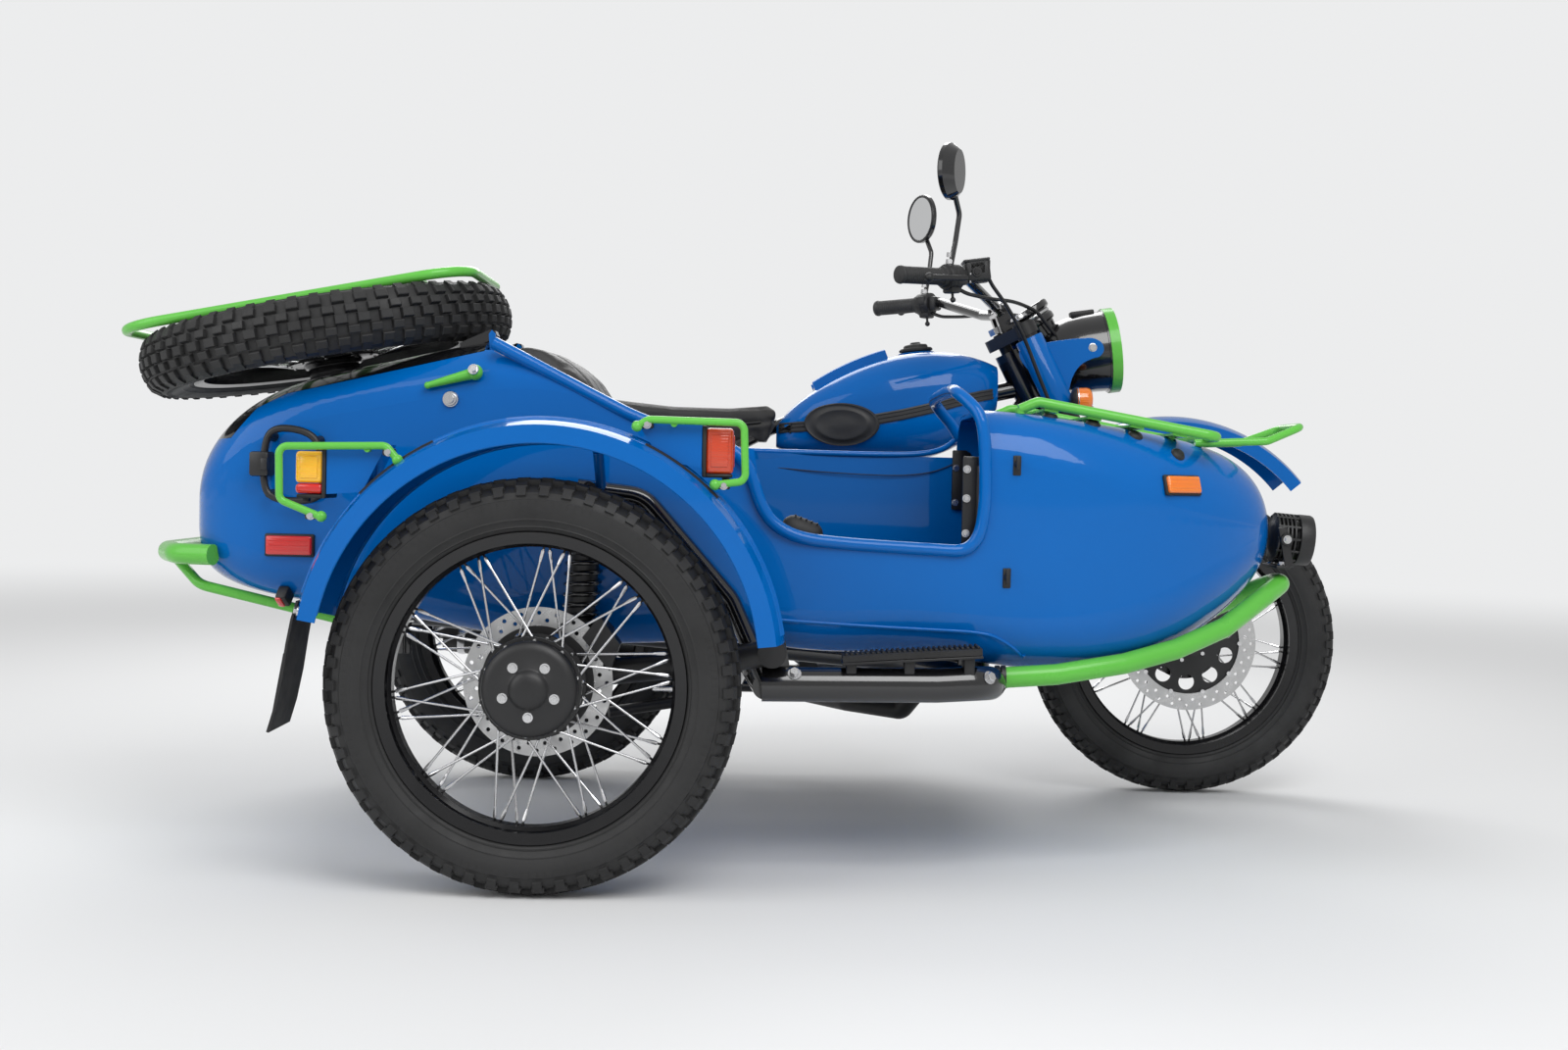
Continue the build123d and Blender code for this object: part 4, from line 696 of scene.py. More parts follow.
tub_skin = skin_of("tub")
CREASE = ((525, 435), (625, 430), (742, 425), (850, 422), (890, 418), (915, 408), (940, 391), (951, 375),
          (954, 360))
crease_line = [spot + normal * 0.0004 for spot, normal in (set_on(tub_skin, x, z) for x, z in CREASE)]
wire("body_crease", crease_line, 0.0032, "chassis", blue_paint, round_steps=3)

# Cockpit rail: a round steel tube welded along the near wall's edge and over the cowl, bent in easy corners;
# the far wall has only a thin rolled edge. A fine seam runs below it, drawn as a thin line of painted shade.
NEAR_RAIL = ((40, -952, 894), (104, -955, 862), (167, -956, 830), (230, -956, 798), (293, -956, 768),
             (380, -956, 744), (438, -957, 728), (468, -958, 706), (484, -958, 672), (497, -958, 630),
             (520, -958, 596), (566, -958, 574), (640, -958, 567), (720, -958, 563), (800, -958, 560),
             (846, -958, 558), (870, -958, 582), (878, -958, 632), (878, -958, 690), (875, -957, 752),
             (868, -952, 790), (848, -934, 814), (830, -912, 830), (828, -880, 834), (828, -800, 836),
             (828, -690, 836), (828, -580, 836), (828, -490, 833), (832, -458, 826), (852, -440, 804),
             (872, -430, 784), (884, -428, 762))
near_rail = wire("near_rail", [at(*spot) for spot in NEAR_RAIL], 0.0110, "chassis", blue_paint,
                 round_steps=6)
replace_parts(near_rail, "cockpit_rail")
FAR_EDGE = ((40, -428, 889), (100, -428, 859), (167, -428, 825), (230, -428, 793), (293, -428, 762),
            (380, -428, 738), (440, -428, 727), (560, -428, 726), (700, -428, 725), (790, -428, 726),
            (836, -428, 732), (868, -428, 746), (884, -428, 766))
wire("far_rolled_edge", [at(*spot) for spot in FAR_EDGE], 0.0058, "chassis", blue_paint,
     round_steps=4)
# dark blue wire along the far wall's seam: its colour is painted shade in the seam's crease
seam_shade = surface("seam_shadow", (0.0, 0.022, 0.075), 0.5, 0.6)
SEAM_SHADE_LINE = ((500, 697), (560, 692), (640, 687), (731, 684), (780, 685), (820, 690), (850, 698), (874, 710))
wire("far_wall_seam_shade", [at(x, -433.6, z) for x, z in SEAM_SHADE_LINE], 0.0012, "chassis", seam_shade,
     round_steps=2)

moulded_black = surface("moulded_black", (0.010, 0.010, 0.0105), 0.42, 0.58, cloud=12.0, shade=0.2, pit=800.0,
                        cells=0.6, depth=0.12)
studs = bmesh.new()
for x, z in ((932, 706), (919, 514)):
    spot, normal = set_on(tub_skin, x, z)
    base = upright_on(spot, normal)
    block(studs, base, (0.014, 0.034, 0.004), 0.0018)
    cone(studs, 16, 0.006, 0.0045, 0.010, base @ shift(0, 0.002, 0.006))
    block(studs, base @ shift(0, 0.004, 0.0125), (0.007, 0.024, 0.004), 0.0015)
piece("cover_studs", studs, "chassis", moulded_black)

# two windscreen hinges at the front edge of the cockpit, with bright screws
hinge_bar = bmesh.new()
hinge_screws = bmesh.new()
# x, y and z of a hinge's middle, its length, heights of its screws
for x, y, z, tall, lifts in ((858, -918, 640, 0.160, (-52, 8, 58)), (886, -438, 678, 0.118, (-44, 24))):
    stand = stood(x, y, z)
    block(hinge_bar, stand, (0.030, 0.007, tall), 0.003)
    block(hinge_bar, stand @ shift(0.006, 0.002, tall / 2 - 0.020), (0.032, 0.010, 0.034), 0.005)
    cone(hinge_bar, 16, 0.0065, 0.0065, tall * 0.8, stand @ shift(0.014, -0.001, 0))
    for lift in lifts:
        bolt(hinge_screws, at(x - 8, y - 4, z + lift), (0, -1, 0), across=0.009)
piece("windscreen_hinges", hinge_bar, "chassis", satin_black)
piece("windscreen_hinge_screws", hinge_screws, "chassis", plated)

# ribs per metre over a full turn
LENS_RIBS = 420.0 / 6.2832


def lens_finish(name, tone, glow):
    """Coloured clear plastic with moulded ribs behind its face."""
    material, nodes, links, shader = new_material(name, Base_Color=(*tone, 1.0), Roughness=0.12,
                                                  Coat_Weight=1.0, Coat_Roughness=0.03, IOR=1.49,
                                                  Emission_Color=(*tone, 1.0), Emission_Strength=glow,
                                                  Subsurface_Weight=0.25,
                                                  Subsurface_Radius=(0.02, 0.008, 0.003),
                                                  Subsurface_Scale=0.02)
    spot = nodes.new("ShaderNodeTexCoord")
    ribbing = nodes.new("ShaderNodeTexWave")
    ribbing.bands_direction = "Z"
    ribbing.inputs["Scale"].default_value = LENS_RIBS
    links.new(spot.outputs["Object"], ribbing.inputs["Vector"])
    emboss(nodes, links, ribbing.outputs["Fac"], shader, 0.35, 0.0006)
    return material


amber = lens_finish("amber_lens", (0.80, 0.19, 0.006), glow=0.03)
red = lens_finish("red_lens", (0.62, 0.012, 0.01), glow=0.03)
orange_red = lens_finish("orange_red_lens", (0.60, 0.045, 0.004), glow=0.02)
yellow = lens_finish("yellow_lens", (0.90, 0.47, 0.006), glow=0.06)
# name, place on the body's side, width and height, lens
MARKERS = (("rear_side_marker", (-300, 544), (0.078, 0.032), red),
           ("nose_side_marker", (1213, 678), (0.070, 0.030), amber))
for name, (x, z), (wide, high), finish in MARKERS:
    spot, normal = set_on(tub_skin, x, z)
    base = upright_on(spot, normal)
    case = bmesh.new()
    block(case, base @ shift(0, 0, 0.001), (wide + 0.007, high + 0.007, 0.008), 0.003)
    piece(name + "_case", case, "chassis", moulded_black)
    face = bmesh.new()
    block(face, base @ shift(0, 0, 0.006), (wide, high, 0.010), 0.0035, 3)
    for share in (-0.25, 0.0, 0.25):
        block(face, base @ shift(0, high * share, 0.0108), (wide * 0.86, 0.0016, 0.0016), 0.0005, 1)
    piece(name, face, "chassis", finish)
spot, normal = set_on(tub_skin, -304, 467)
small = bmesh.new()
block(small, upright_on(spot, normal) @ shift(0, 0, 0.012), (0.020, 0.028, 0.026), 0.004)
piece("small_side_lamp_case", small, "chassis", moulded_black)
small = bmesh.new()
block(small, upright_on(spot, normal) @ shift(-0.004, 0, 0.0245), (0.012, 0.024, 0.006), 0.0028)
piece("small_side_lamp", small, "chassis", red)

# black tube loop with a small box, for a fuel can and tools, on the rear of the body's side
LOOP = ((-337, 722), (-318, 742), (-268, 738), (-246, 716), (-238, 640), (-256, 620), (-318, 620),
        (-338, 640))
loop_line = [spot + normal * 0.024 for spot, normal in (set_on(tub_skin, x, z) for x, z in LOOP)]
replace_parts(wire("tool_loop", loop_line, 0.0062, "chassis", satin_black, closed=True),
            "tool_bracket")
brace = bmesh.new()
for x, z in ((-330, 728), (-252, 722), (-250, 634), (-330, 630)):
    spot, normal = set_on(tub_skin, x, z)
    cone(brace, 14, 0.009, 0.006, 0.022, facing(spot + normal * 0.011, normal))
spot, normal = set_on(tub_skin, -342, 681)
block(brace, upright_on(spot, normal) @ shift(0, 0, 0.020), (0.034, 0.042, 0.036), 0.005)
block(brace, upright_on(spot, normal) @ shift(0.012, 0.0, 0.041), (0.012, 0.020, 0.008), 0.002)
piece("tool_loop_feet", brace, "chassis", satin_black)

# lid catch: green tapered lever on a bright pivot bolt, and a chrome lock below it
lever = bmesh.new()
tip_spot, tip_normal = set_on(tub_skin, -72, 818, -930)
root_spot, root_normal = set_on(tub_skin, 8, 841, -930)
run = root_spot - tip_spot
cone(lever, 20, 0.0055, 0.0100, run.length, facing((tip_spot + root_spot) / 2 + tip_normal * 0.010, run))
ball(lever, 20, 10, 0.0135, root_spot + root_normal * 0.010)
ball(lever, 16, 8, 0.0062, tip_spot + tip_normal * 0.010)
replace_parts(piece("lid_lever", lever, "chassis", green_paint, crease=60.0), "lid_catch")
catch = bmesh.new()
bolt(catch, root_spot + root_normal * 0.0225, root_normal, across=0.012, high=0.004)
spot, normal = set_on(tub_skin, -35, 798, -930)
for radius, low in ((0.0145, 0.0), (0.0115, 0.003), (0.0075, 0.0065)):
    cone(catch, 28, radius, radius * 0.9, 0.004, facing(spot + normal * (low + 0.002), normal))
block(catch, upright_on(spot, normal) @ shift(0, 0, 0.0105), (0.0015, 0.008, 0.0012), 0.0003, 1)
piece("lid_lock", catch, "chassis", plated)

# ---------------------------------------------------------------------------------------------
# Sidecar wheel's fender: heavy pressed sheet with four raised ribs along its crown, rolled lower edges,
# and a rubber mudflap bolted on behind.
fender_skin = skin_of("side_fender")
ARCH_MIDDLE = (152.0, -1140.0, 374.0)
ARCH_RADIUS = 351.5


def from_above(y, degrees):
    """Point and normal met on the fender by looking in at the arch's middle, and the direction back out."""
    out = Vector((math.cos(math.radians(degrees)), 0, math.sin(math.radians(degrees))))
    spot, normal, _, _ = fender_skin.ray_cast(at(ARCH_MIDDLE[0], y, ARCH_MIDDLE[2]) + out * 0.6, -out)
    return spot, normal, out


# distance of a rib from the fender's middle, half thickness
for index, (offset, size) in enumerate(((-46.0, 0.0036), (-34.0, 0.0036), (-22.0, 0.0036), (34.0, 0.0036))):
    line = []
    for degrees in range(8, 170, 6):
        spot, _, out = from_above(ARCH_MIDDLE[1] + offset, degrees)
        if spot is not None:
            line.append(spot - out * size * 0.35)
    wire("fender_rib_%d" % index, line, size, "chassis", blue_paint, round_steps=3)
# rolled edges, set a little in from the fender's outer and inner faces
for side, y in (("outer", -1216.0 + 3.2), ("inner", -1064.0 - 1.2)):
    line = []
    for degrees in range(6, 171, 6):
        angle = math.radians(degrees)
        line.append(at(ARCH_MIDDLE[0] + ARCH_RADIUS * math.cos(angle), y,
                       ARCH_MIDDLE[2] + ARCH_RADIUS * math.sin(angle)))
    wire("fender_edge_" + side, line, 0.0030, "chassis", blue_paint, round_steps=3)

rubber = surface("black_rubber", (0.014, 0.014, 0.0145), 0.55, 0.72, cloud=14.0, shade=0.3, pit=900.0,
                 depth=0.15)
flap = bmesh.new()
FLAP_HALF = 66.0
# points of the flap's curve: x, z
FLAP = ((-226, 468), (-233, 440), (-240, 400), (-247, 350), (-257, 300), (-268, 262))
rows = []
for x, z in FLAP:
    narrow = FLAP_HALF - max(0.0, z - 430) * 0.2
    across = [ARCH_MIDDLE[1] + narrow * share for share in (-1, -0.5, 0, 0.5, 1)]
    rows.append([flap.verts.new(at(x, y, z)) for y in across])
lay(flap, rows)
bmesh.ops.recalc_face_normals(flap, faces=flap.faces)
bmesh.ops.solidify(flap, geom=flap.faces[:], thickness=0.004)
bmesh.ops.recalc_face_normals(flap, faces=flap.faces)
for y in (-42, -21, 0, 21, 42):
    block(flap, stood(-256, ARCH_MIDDLE[1] + y, 330) @ pitched(0.17), (0.0035, 0.006, 0.110), 0.001, 1)
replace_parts(piece("rubber_mudflap", flap, "chassis", rubber), "mudflap")
rivets = bmesh.new()
for y in (-60, 0, 60):
    spot, normal, _, _ = fender_skin.ray_cast(at(-400, ARCH_MIDDLE[1] + y, 452), Vector((1, 0, 0)))
    if spot is not None:
        bolt(rivets, spot, normal, across=0.011)
piece("mudflap_bolts", rivets, "chassis", plated)

# ---------------------------------------------------------------------------------------------
# Seats. Foam pads under dark grey grained vinyl: the sidecar's wedge-shaped back and its flat base, and the
# bike's bench with a lipped top. Each cover is sewn from panels, with a piped seam round its top or front.
VOXEL = 0.0060
PRESSURE = 4.0
FRAMES = 20
SIDES = ((-1, "right"), (1, "left"))
seat_vinyl = surface("seat_vinyl", (0.030, 0.029, 0.028), 0.46, 0.62, cloud=5.0, shade=0.3, pit=620.0,
                     cells=1.0, depth=0.22, Specular_IOR_Level=0.4, Sheen_Weight=0.08, Sheen_Roughness=0.4)
piping_vinyl = surface("seat_piping", (0.012, 0.012, 0.012), 0.40, 0.55, cloud=9.0, shade=0.2, pit=900.0,
                       cells=1.0, depth=0.12)
STITCH_INSET = 0.007
thread = surface("seat_thread", (0.045, 0.044, 0.043), 0.6, 0.75, cloud=60.0, shade=0.2, pit=2000.0,
                 depth=0.3)


def shaped_pad(name, outline, mid_y, half, taper, soften, cap, floor_z):
    """Foam pad: side view (x, z) in mm, pulled across its width, rounded, then swollen by cloth pressure.

    taper gives the share of the half width at each x; floor_z is where it rests flat.
    """
    form = bmesh.new()
    side = [form.verts.new(at(x, mid_y - half, z)) for x, z in outline]
    pull(form, [form.faces.new(side)], (0, 2 * half / 1000, 0))
    data = bpy.data.meshes.new(name)
    form.to_mesh(data)
    form.free()
    pad = placed(name, data)
    remesh = pad.modifiers.new("remesh", "REMESH")
    remesh.mode = "VOXEL"
    remesh.voxel_size = VOXEL
    smooth = pad.modifiers.new("soften", "SMOOTH")
    smooth.factor = 0.6
    smooth.iterations = soften
    settle(pad)
    middle_line = at(0, mid_y, 0).y
    for v in pad.data.vertices:
        share = taper((v.co.x - REAR_WHEEL.x) * 1000)
        v.co.y = middle_line + (v.co.y - middle_line) * share
    before = [v.co.copy() for v in pad.data.vertices]
    cloth = pad.modifiers.new("swell", "CLOTH")
    cloth.settings.quality = 5
    cloth.settings.use_pressure = True
    cloth.settings.uniform_pressure_force = PRESSURE
    cloth.settings.effector_weights.gravity = 0.0
    cloth.settings.tension_stiffness = 12.0
    cloth.settings.compression_stiffness = 12.0
    cloth.settings.bending_stiffness = 1.5
    cloth.point_cache.frame_start = 1
    cloth.point_cache.frame_end = FRAMES
    for step in range(1, FRAMES + 1):
        bpy.context.scene.frame_set(step)
    settle(pad)
    bpy.context.scene.frame_set(1)
    for v, start in zip(pad.data.vertices, before):
        moved = v.co - start
        if moved.length > cap:
            v.co = start + moved.normalized() * cap
        if v.co.z < floor_z / 1000:
            v.co.z = floor_z / 1000
    return pad


def settle(pad):
    """Makes the pad's mesh what its modifiers show, and takes them off."""
    graph = bpy.context.evaluated_depsgraph_get()
    graph.update()
    shown = bpy.data.meshes.new_from_object(pad.evaluated_get(graph))
    old = pad.data
    pad.modifiers.clear()
    pad.data = shown
    bpy.data.meshes.remove(old)


def press_seam(pad, distance_to, deep, wide):
    """Draws the cover in along a line, where distance_to gives a point's distance from it."""
    normals = [v.normal.copy() for v in pad.data.vertices]
    for v, normal in zip(pad.data.vertices, normals):
        gap = distance_to(v.co)
        if gap is not None and gap < wide * 3:
            v.co -= normal * deep * math.exp(-(gap / wide) ** 2)


def finish_pad(pad, node):
    """Gives a pad its cover and its place in the object."""
    smooth = pad.modifiers.new("smooth", "SUBSURF")
    smooth.levels = smooth.render_levels = 1
    settle(pad)
    pad.data.materials.clear()
    pad.data.materials.append(seat_vinyl)
    pad.data.shade_smooth()
    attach(pad, "chassis")
    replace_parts(pad, node)


def on_pad(skin, spot, direction):
    """Nearest point of a pad's skin met by going along direction from outside it."""
    direction = Vector(direction).normalized()
    hit, normal, _, _ = skin.ray_cast(spot - direction * 0.5, direction)
    return (hit, normal) if hit is not None else skin.find_nearest(spot)[:2]


def sew(name, skin, line, inward, stitched=True):
    """Piping cord laid on a pad's skin along (x, y, z) points in mm, and a row of stitches beside it."""
    spots = [on_pad(skin, at(*spot), inward) for spot in line]
    wire(name + "_piping", [spot + normal * 0.0012 for spot, normal in spots], 0.0030, "chassis",
         piping_vinyl, round_steps=2)
    if not stitched:
        return
    stitches = bmesh.new()
    for (start, normal), (end, _) in zip(spots, spots[1:]):
        run = end - start
        across = normal.cross(run).normalized()
        count = max(1, int(run.length / 0.0055))
        for index in range(count):
            spot = start + run * ((index + 0.5) / count) - across * STITCH_INSET + normal * 0.0004
            touch, out, _, _ = skin.find_nearest(spot)
            block(stitches, facing(touch + out * 0.0004, run), (0.0009, 0.0009, 0.0036), 0.0003, 1)
    piece(name + "_stitches", stitches, "chassis", thread)


# sidecar seat's back: a fat wedge that leans on the bulkhead, its sides a little proud at the shoulders
BACK_OUTLINE = ((46, 568), (46, 884), (85, 897), (118, 890), (150, 870), (178, 847), (203, 810), (232, 770),
                (250, 735), (186, 568))
BASE_OUTLINE = ((48, 446), (48, 556), (418, 556), (552, 518), (562, 472), (554, 446))
SEAT_HALF = 228.0


def plump(x):
    return 1.0 if x < 150 else 1.0 - 0.0004 * (x - 150)


def even(x):
    return 1.0


back = shaped_pad("seat_back_pad", BACK_OUTLINE, TUB_MIDDLE, SEAT_HALF, plump, 14, 0.009, 500)
PANEL_EDGE = 0.178
back_mid = at(0, TUB_MIDDLE, 0).y


def near_side_seam(co):
    return abs(abs(co.y - back_mid) - PANEL_EDGE)


def near_channels(co):
    spread = abs(co.y - back_mid)
    return abs(spread - 0.062) if spread < 0.15 else None


press_seam(back, near_side_seam, 0.0040, 0.0050)
press_seam(back, near_channels, 0.0050, 0.0075)
back_skin = skin_of(back)
FRONT_LINE = ((58, 900), (80, 892), (118, 872), (160, 842), (200, 812), (232, 780), (256, 745), (258, 705),
              (236, 660), (212, 612))
for side, name in SIDES:
    line = [(x, TUB_MIDDLE + side * PANEL_EDGE * 1000, z) for x, z in FRONT_LINE]
    sew("seat_back_" + name, back_skin, line, (-0.75, 0, -0.66))
finish_pad(back, "sidecar_seat")

base = shaped_pad("seat_base_pad", BASE_OUTLINE, TUB_MIDDLE, SEAT_HALF, even, 12, 0.008, 447)
press_seam(base, near_channels, 0.0045, 0.0075)
base_skin = skin_of(base)
for side, name in SIDES:
    line = [(x, TUB_MIDDLE + side * 214, 600) for x in (70, 130, 200, 280, 350, 410, 470, 525, 548)]
    sew("seat_base_" + name, base_skin, line, (0, 0, -1), stitched=False)
finish_pad(base, "sidecar_seat")

# the bike's bench: dipped for the rider, wide behind, narrow at the tank, its top panel lipped over the sides
BENCH_OUTLINE = ((-86, 762), (-92, 818), (-60, 838), (30, 838), (118, 835), (210, 824), (300, 816),
                 (420, 815), (500, 822), (526, 824), (530, 818), (508, 748), (468, 754), (300, 757),
                 (200, 755))
BENCH_HALF = 122.0


def narrowing(x):
    """Share of the bench's half width: full behind the rider, narrow where the knees close on the tank."""
    return 1.0 if x < 180 else 1.0 - 0.27 * min(1.0, (x - 180) / 300) ** 1.4


bench = shaped_pad("bench_pad", BENCH_OUTLINE, 0.0, BENCH_HALF, narrowing, 8, 0.007, 752)


def lip_height(x):
    """Height of the lip seam along the bench, in metres."""
    points = ((-100, 806), (120, 806), (300, 788), (430, 786), (540, 800))
    for (x0, z0), (x1, z1) in zip(points, points[1:]):
        if x <= x1:
            return (z0 + (z1 - z0) * max(0.0, (x - x0) / (x1 - x0))) / 1000
    return points[-1][1] / 1000


def near_lip(co):
    return abs(co.z - lip_height((co.x - REAR_WHEEL.x) * 1000))


press_seam(bench, near_lip, 0.0050, 0.0042)
for v in bench.data.vertices:
    rise = v.co.z - lip_height((v.co.x - REAR_WHEEL.x) * 1000)
    if rise < 0:
        v.co.y = REAR_WHEEL.y + (v.co.y - REAR_WHEEL.y) * (1.0 - 0.05 * min(1.0, -rise / 0.02))
bench_skin = skin_of(bench)
for side, name in SIDES:
    line = [(x, side * 60, lip_height(x) * 1000) for x in range(-70, 521, 35)]
    sew("bench_" + name, bench_skin, line, (0, -side, 0), stitched=False)
finish_pad(bench, "bike_seat")
# the cross seam's points: y and z to look from, direction to look in
STRAP = ((-60, 790, (0, 1, 0)), (-60, 808, (0, 1, 0)), (-90, 900, (0, 0, -1)), (-45, 900, (0, 0, -1)),
         (0, 900, (0, 0, -1)), (45, 900, (0, 0, -1)), (90, 900, (0, 0, -1)), (60, 808, (0, -1, 0)),
         (60, 790, (0, -1, 0)))
strap_line = [on_pad(bench_skin, at(232, y, z), direction) for y, z, direction in STRAP]
wire("bench_cross_seam", [spot - normal * 0.0006 for spot, normal in strap_line], 0.0022, "chassis",
     piping_vinyl, round_steps=2)

# ---------------------------------------------------------------------------------------------
# Handlebar controls. Ribbed rubber grips, a cast throttle and switch housing beside each, levers with ball
# ends on their perches, and the brake's square fluid cup on the right, all in dull black.
GRIP_END = (763.0, 387.0, 1085.0)
BAR_BEND = (905.0, 285.0, 1092.0)
grip_rubber = surface("grip_rubber", (0.030, 0.030, 0.031), 0.50, 0.66, cloud=30.0, shade=0.25, pit=1100.0,
                      depth=0.2)
cast_black = surface("cast_black", (0.014, 0.014, 0.015), 0.36, 0.50, cloud=20.0, shade=0.25, pit=1400.0,
                     depth=0.25)
dress(rubber, "tank_trim")
dress(black_paint, "handlebar")


def along_bar(side, run):
    """Point on the bar and its direction, run mm in from the grip's end."""
    start = at(GRIP_END[0], side * GRIP_END[1], GRIP_END[2])
    bend = at(BAR_BEND[0], side * BAR_BEND[1], BAR_BEND[2])
    course = (bend - start).normalized()
    return start + course * run / 1000, course


GRIP = [(0.0, -0.0046), (0.0150, -0.0046), (0.0178, -0.0030), (0.0186, 0.0), (0.0186, 0.0022),
        (0.0172, 0.0040)]
for index in range(19):
    low = 0.0075 + index * 0.0052
    GRIP += [(0.0166, low), (0.0173, low + 0.0008), (0.0173, low + 0.0030), (0.0166, low + 0.0038)]
GRIP += [(0.0170, 0.1070), (0.0205, 0.1085), (0.0210, 0.1110), (0.0210, 0.1170), (0.0195, 0.1185)]
# housing beside the grip: radius, distance in from the grip's end
HOUSING = ((0.0200, 0.1160), (0.0258, 0.1180), (0.0268, 0.1205), (0.0268, 0.1330), (0.0262, 0.1336),
           (0.0268, 0.1342), (0.0268, 0.1480), (0.0256, 0.1510), (0.0130, 0.1530))
for side, name in SIDES:
    start, course = along_bar(side, 0)
    stand = facing(start, course)
    piece(name + "_grip", lathed(GRIP, 30, stand), "steering", grip_rubber, crease=30.0)
    housing = lathed(HOUSING, 30, stand)
    spot, _ = along_bar(side, 134)
    level = upright_on(spot, course)
    block(housing, level @ shift(0, -0.020, 0.002), (0.030, 0.026, 0.026), 0.004)
    block(housing, level @ shift(-0.018 * side, 0.006, 0.0), (0.020, 0.020, 0.024), 0.003)
    for lift, radius in ((-0.006, 0.0045), (0.006, 0.0034)):
        cone(housing, 16, radius, radius * 0.9, 0.006, facing(spot + Vector((-0.026, 0, lift)), (-1, 0, 0.2)))
    cone(housing, 12, 0.0028, 0.0028, 0.018, facing(spot + Vector((0.004, 0, -0.036)), (0.1, 0, -1)))
    ball(housing, 14, 8, 0.0060, spot + Vector((0.005, 0, -0.046)))
    # lever perch and the lever's ball end
    perch, _ = along_bar(side, 158)
    block(housing, upright_on(perch, course), (0.034, 0.032, 0.020), 0.005)
    tip, _ = along_bar(side, 16)
    ball(housing, 16, 10, 0.0095, tip + Vector((0.044, side * 0.024, -0.006)))
    piece(name + "_housing", housing, "steering", cast_black)
    nut = bmesh.new()
    post = at(868, side * 314, 1101)
    for low, radius in ((0.006, 0.0100), (0.020, 0.0085), (0.034, 0.0070)):
        stand = facing(post + Vector((0.0003 * low, 0, low)), (0.05, 0, 1))
        cone(nut, 6, radius, radius * 0.95, 0.009, stand)
    for index in range(2):
        bolt(nut, perch + Vector((0.019, 0, 0.008 - 0.016 * index)), (1, 0, 0), across=0.006, high=0.003,
             washer=False)
    piece(name + "_mirror_nuts", nut, "steering", plated)
cup = bmesh.new()
cup_stand = stood(928, -268, 1106) @ pitched(math.radians(-8))
block(cup, cup_stand, (0.052, 0.056, 0.044), 0.006, 3)
block(cup, cup_stand @ shift(0, 0, 0.0225), (0.055, 0.059, 0.006), 0.0024)
cone(cup, 24, 0.0100, 0.0095, 0.004, facing(at(926, -297.5, 1104), (0, -1, 0)))
piece("brake_fluid_cup", cup, "steering", cast_black)
cup_glass = bmesh.new()
cone(cup_glass, 24, 0.0068, 0.0060, 0.002, facing(at(926, -300.5, 1104), (0, -1, 0)))
piece("fluid_sight_glass", cup_glass, "steering", black_paint)

# Mirrors: black backs on bent stalks, each with a bright glass set in a thin bezel, turned in to the rider.
mirror_glass, nodes, links, shader = new_material("mirror_glass", Metallic=1.0, Roughness=0.03,
                                                  Base_Color=(0.90, 0.91, 0.92, 1.0))
film = use_group(nodes, handled, Scale=9.0, Tone=(0.90, 0.91, 0.92, 1.0), Shade=0.06, Smooth=0.02, Dull=0.06)
links.new(film.outputs["Color"], shader.inputs["Base Color"])
links.new(film.outputs["Roughness"], shader.inputs["Roughness"])
dress(black_paint, "mirrors")
MIRROR_HEAD = (858, 352, 1297)
MIRROR_TURN = math.radians(25)
for side, name in SIDES:
    look = Vector((-math.cos(MIRROR_TURN), -side * math.sin(MIRROR_TURN), 0))
    stand = facing(at(MIRROR_HEAD[0], side * MIRROR_HEAD[1], MIRROR_HEAD[2]), look)
    oval = stand @ Matrix.Diagonal((62 / 57, 1.0, 1, 1))
    glass = lathed(((0.0, 0.0016), (0.050, 0.0012)), 56, oval)
    piece(name + "_mirror_glass", glass, "steering", mirror_glass)
    bezel = lathed(((0.0500, 0.0008), (0.0510, 0.0026), (0.0545, 0.0030), (0.0566, 0.0014),
                    (0.0569, -0.0040)), 56, oval)
    piece(name + "_mirror_bezel", bezel, "steering", satin_black, crease=60.0)

# ---------------------------------------------------------------------------------------------
# Headlamp. Deep gloss black steel shell with a green bezel round a clear domed lens, a bright reflector and
# bulb shield inside, hung between blue ears by chrome bolts, and a black-ringed speedometer let into its top.
LAMP = (1243.0, 0.0, 968.0)
LAMP_TILT = math.radians(8.0)
look = Vector((math.cos(LAMP_TILT), 0, math.sin(LAMP_TILT)))
lamp_stand = facing(at(*LAMP), look)
# shell section: radius, distance ahead of the lamp's face
SHELL = ((0.0, -0.1500), (0.020, -0.1490), (0.040, -0.1430), (0.058, -0.1300), (0.072, -0.1090),
         (0.0815, -0.0780), (0.0855, -0.0450), (0.0872, -0.0150), (0.0876, 0.0), (0.0800, 0.0))
shell = lathed(SHELL, 72, lamp_stand)
turn_on(shell, ((0.0872, -0.0040), (0.0905, -0.0035), (0.0905, 0.0), (0.0872, 0.0)), 72, lamp_stand)
# neck that carries the speedometer
dial_up = Vector((-0.555, 0, 0.832))
dial_place = at(1076, 0, 1046)
dial_base = facing(dial_place, dial_up)
turn_on(shell, ((0.034, -0.062), (0.037, -0.040), (0.039, -0.026)), 48, dial_base)
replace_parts(piece("headlamp_shell", shell, "steering", black_paint, crease=50.0), "headlamp")
tell_tale = bmesh.new()
block(tell_tale, stood(1190, 0, 1049.5) @ pitched(-0.14), (0.052, 0.030, 0.012), 0.003)
piece("lamp_switch_plate", tell_tale, "steering", moulded_black)
DIAL_RINGS = ((0.0380, -0.034), (0.0425, -0.032), (0.0440, -0.029), (0.0440, -0.020), (0.0425, -0.017),
              (0.0405, -0.015), (0.0405, -0.006), (0.0435, -0.004), (0.0462, -0.001), (0.0462, 0.009),
              (0.0440, 0.0125), (0.0400, 0.0130), (0.0375, 0.0100), (0.0370, 0.0060))
pod = lathed(((0.0, -0.036),) + DIAL_RINGS, 72, dial_base)
piece("speedometer_case", pod, "steering", black_paint, crease=40.0)
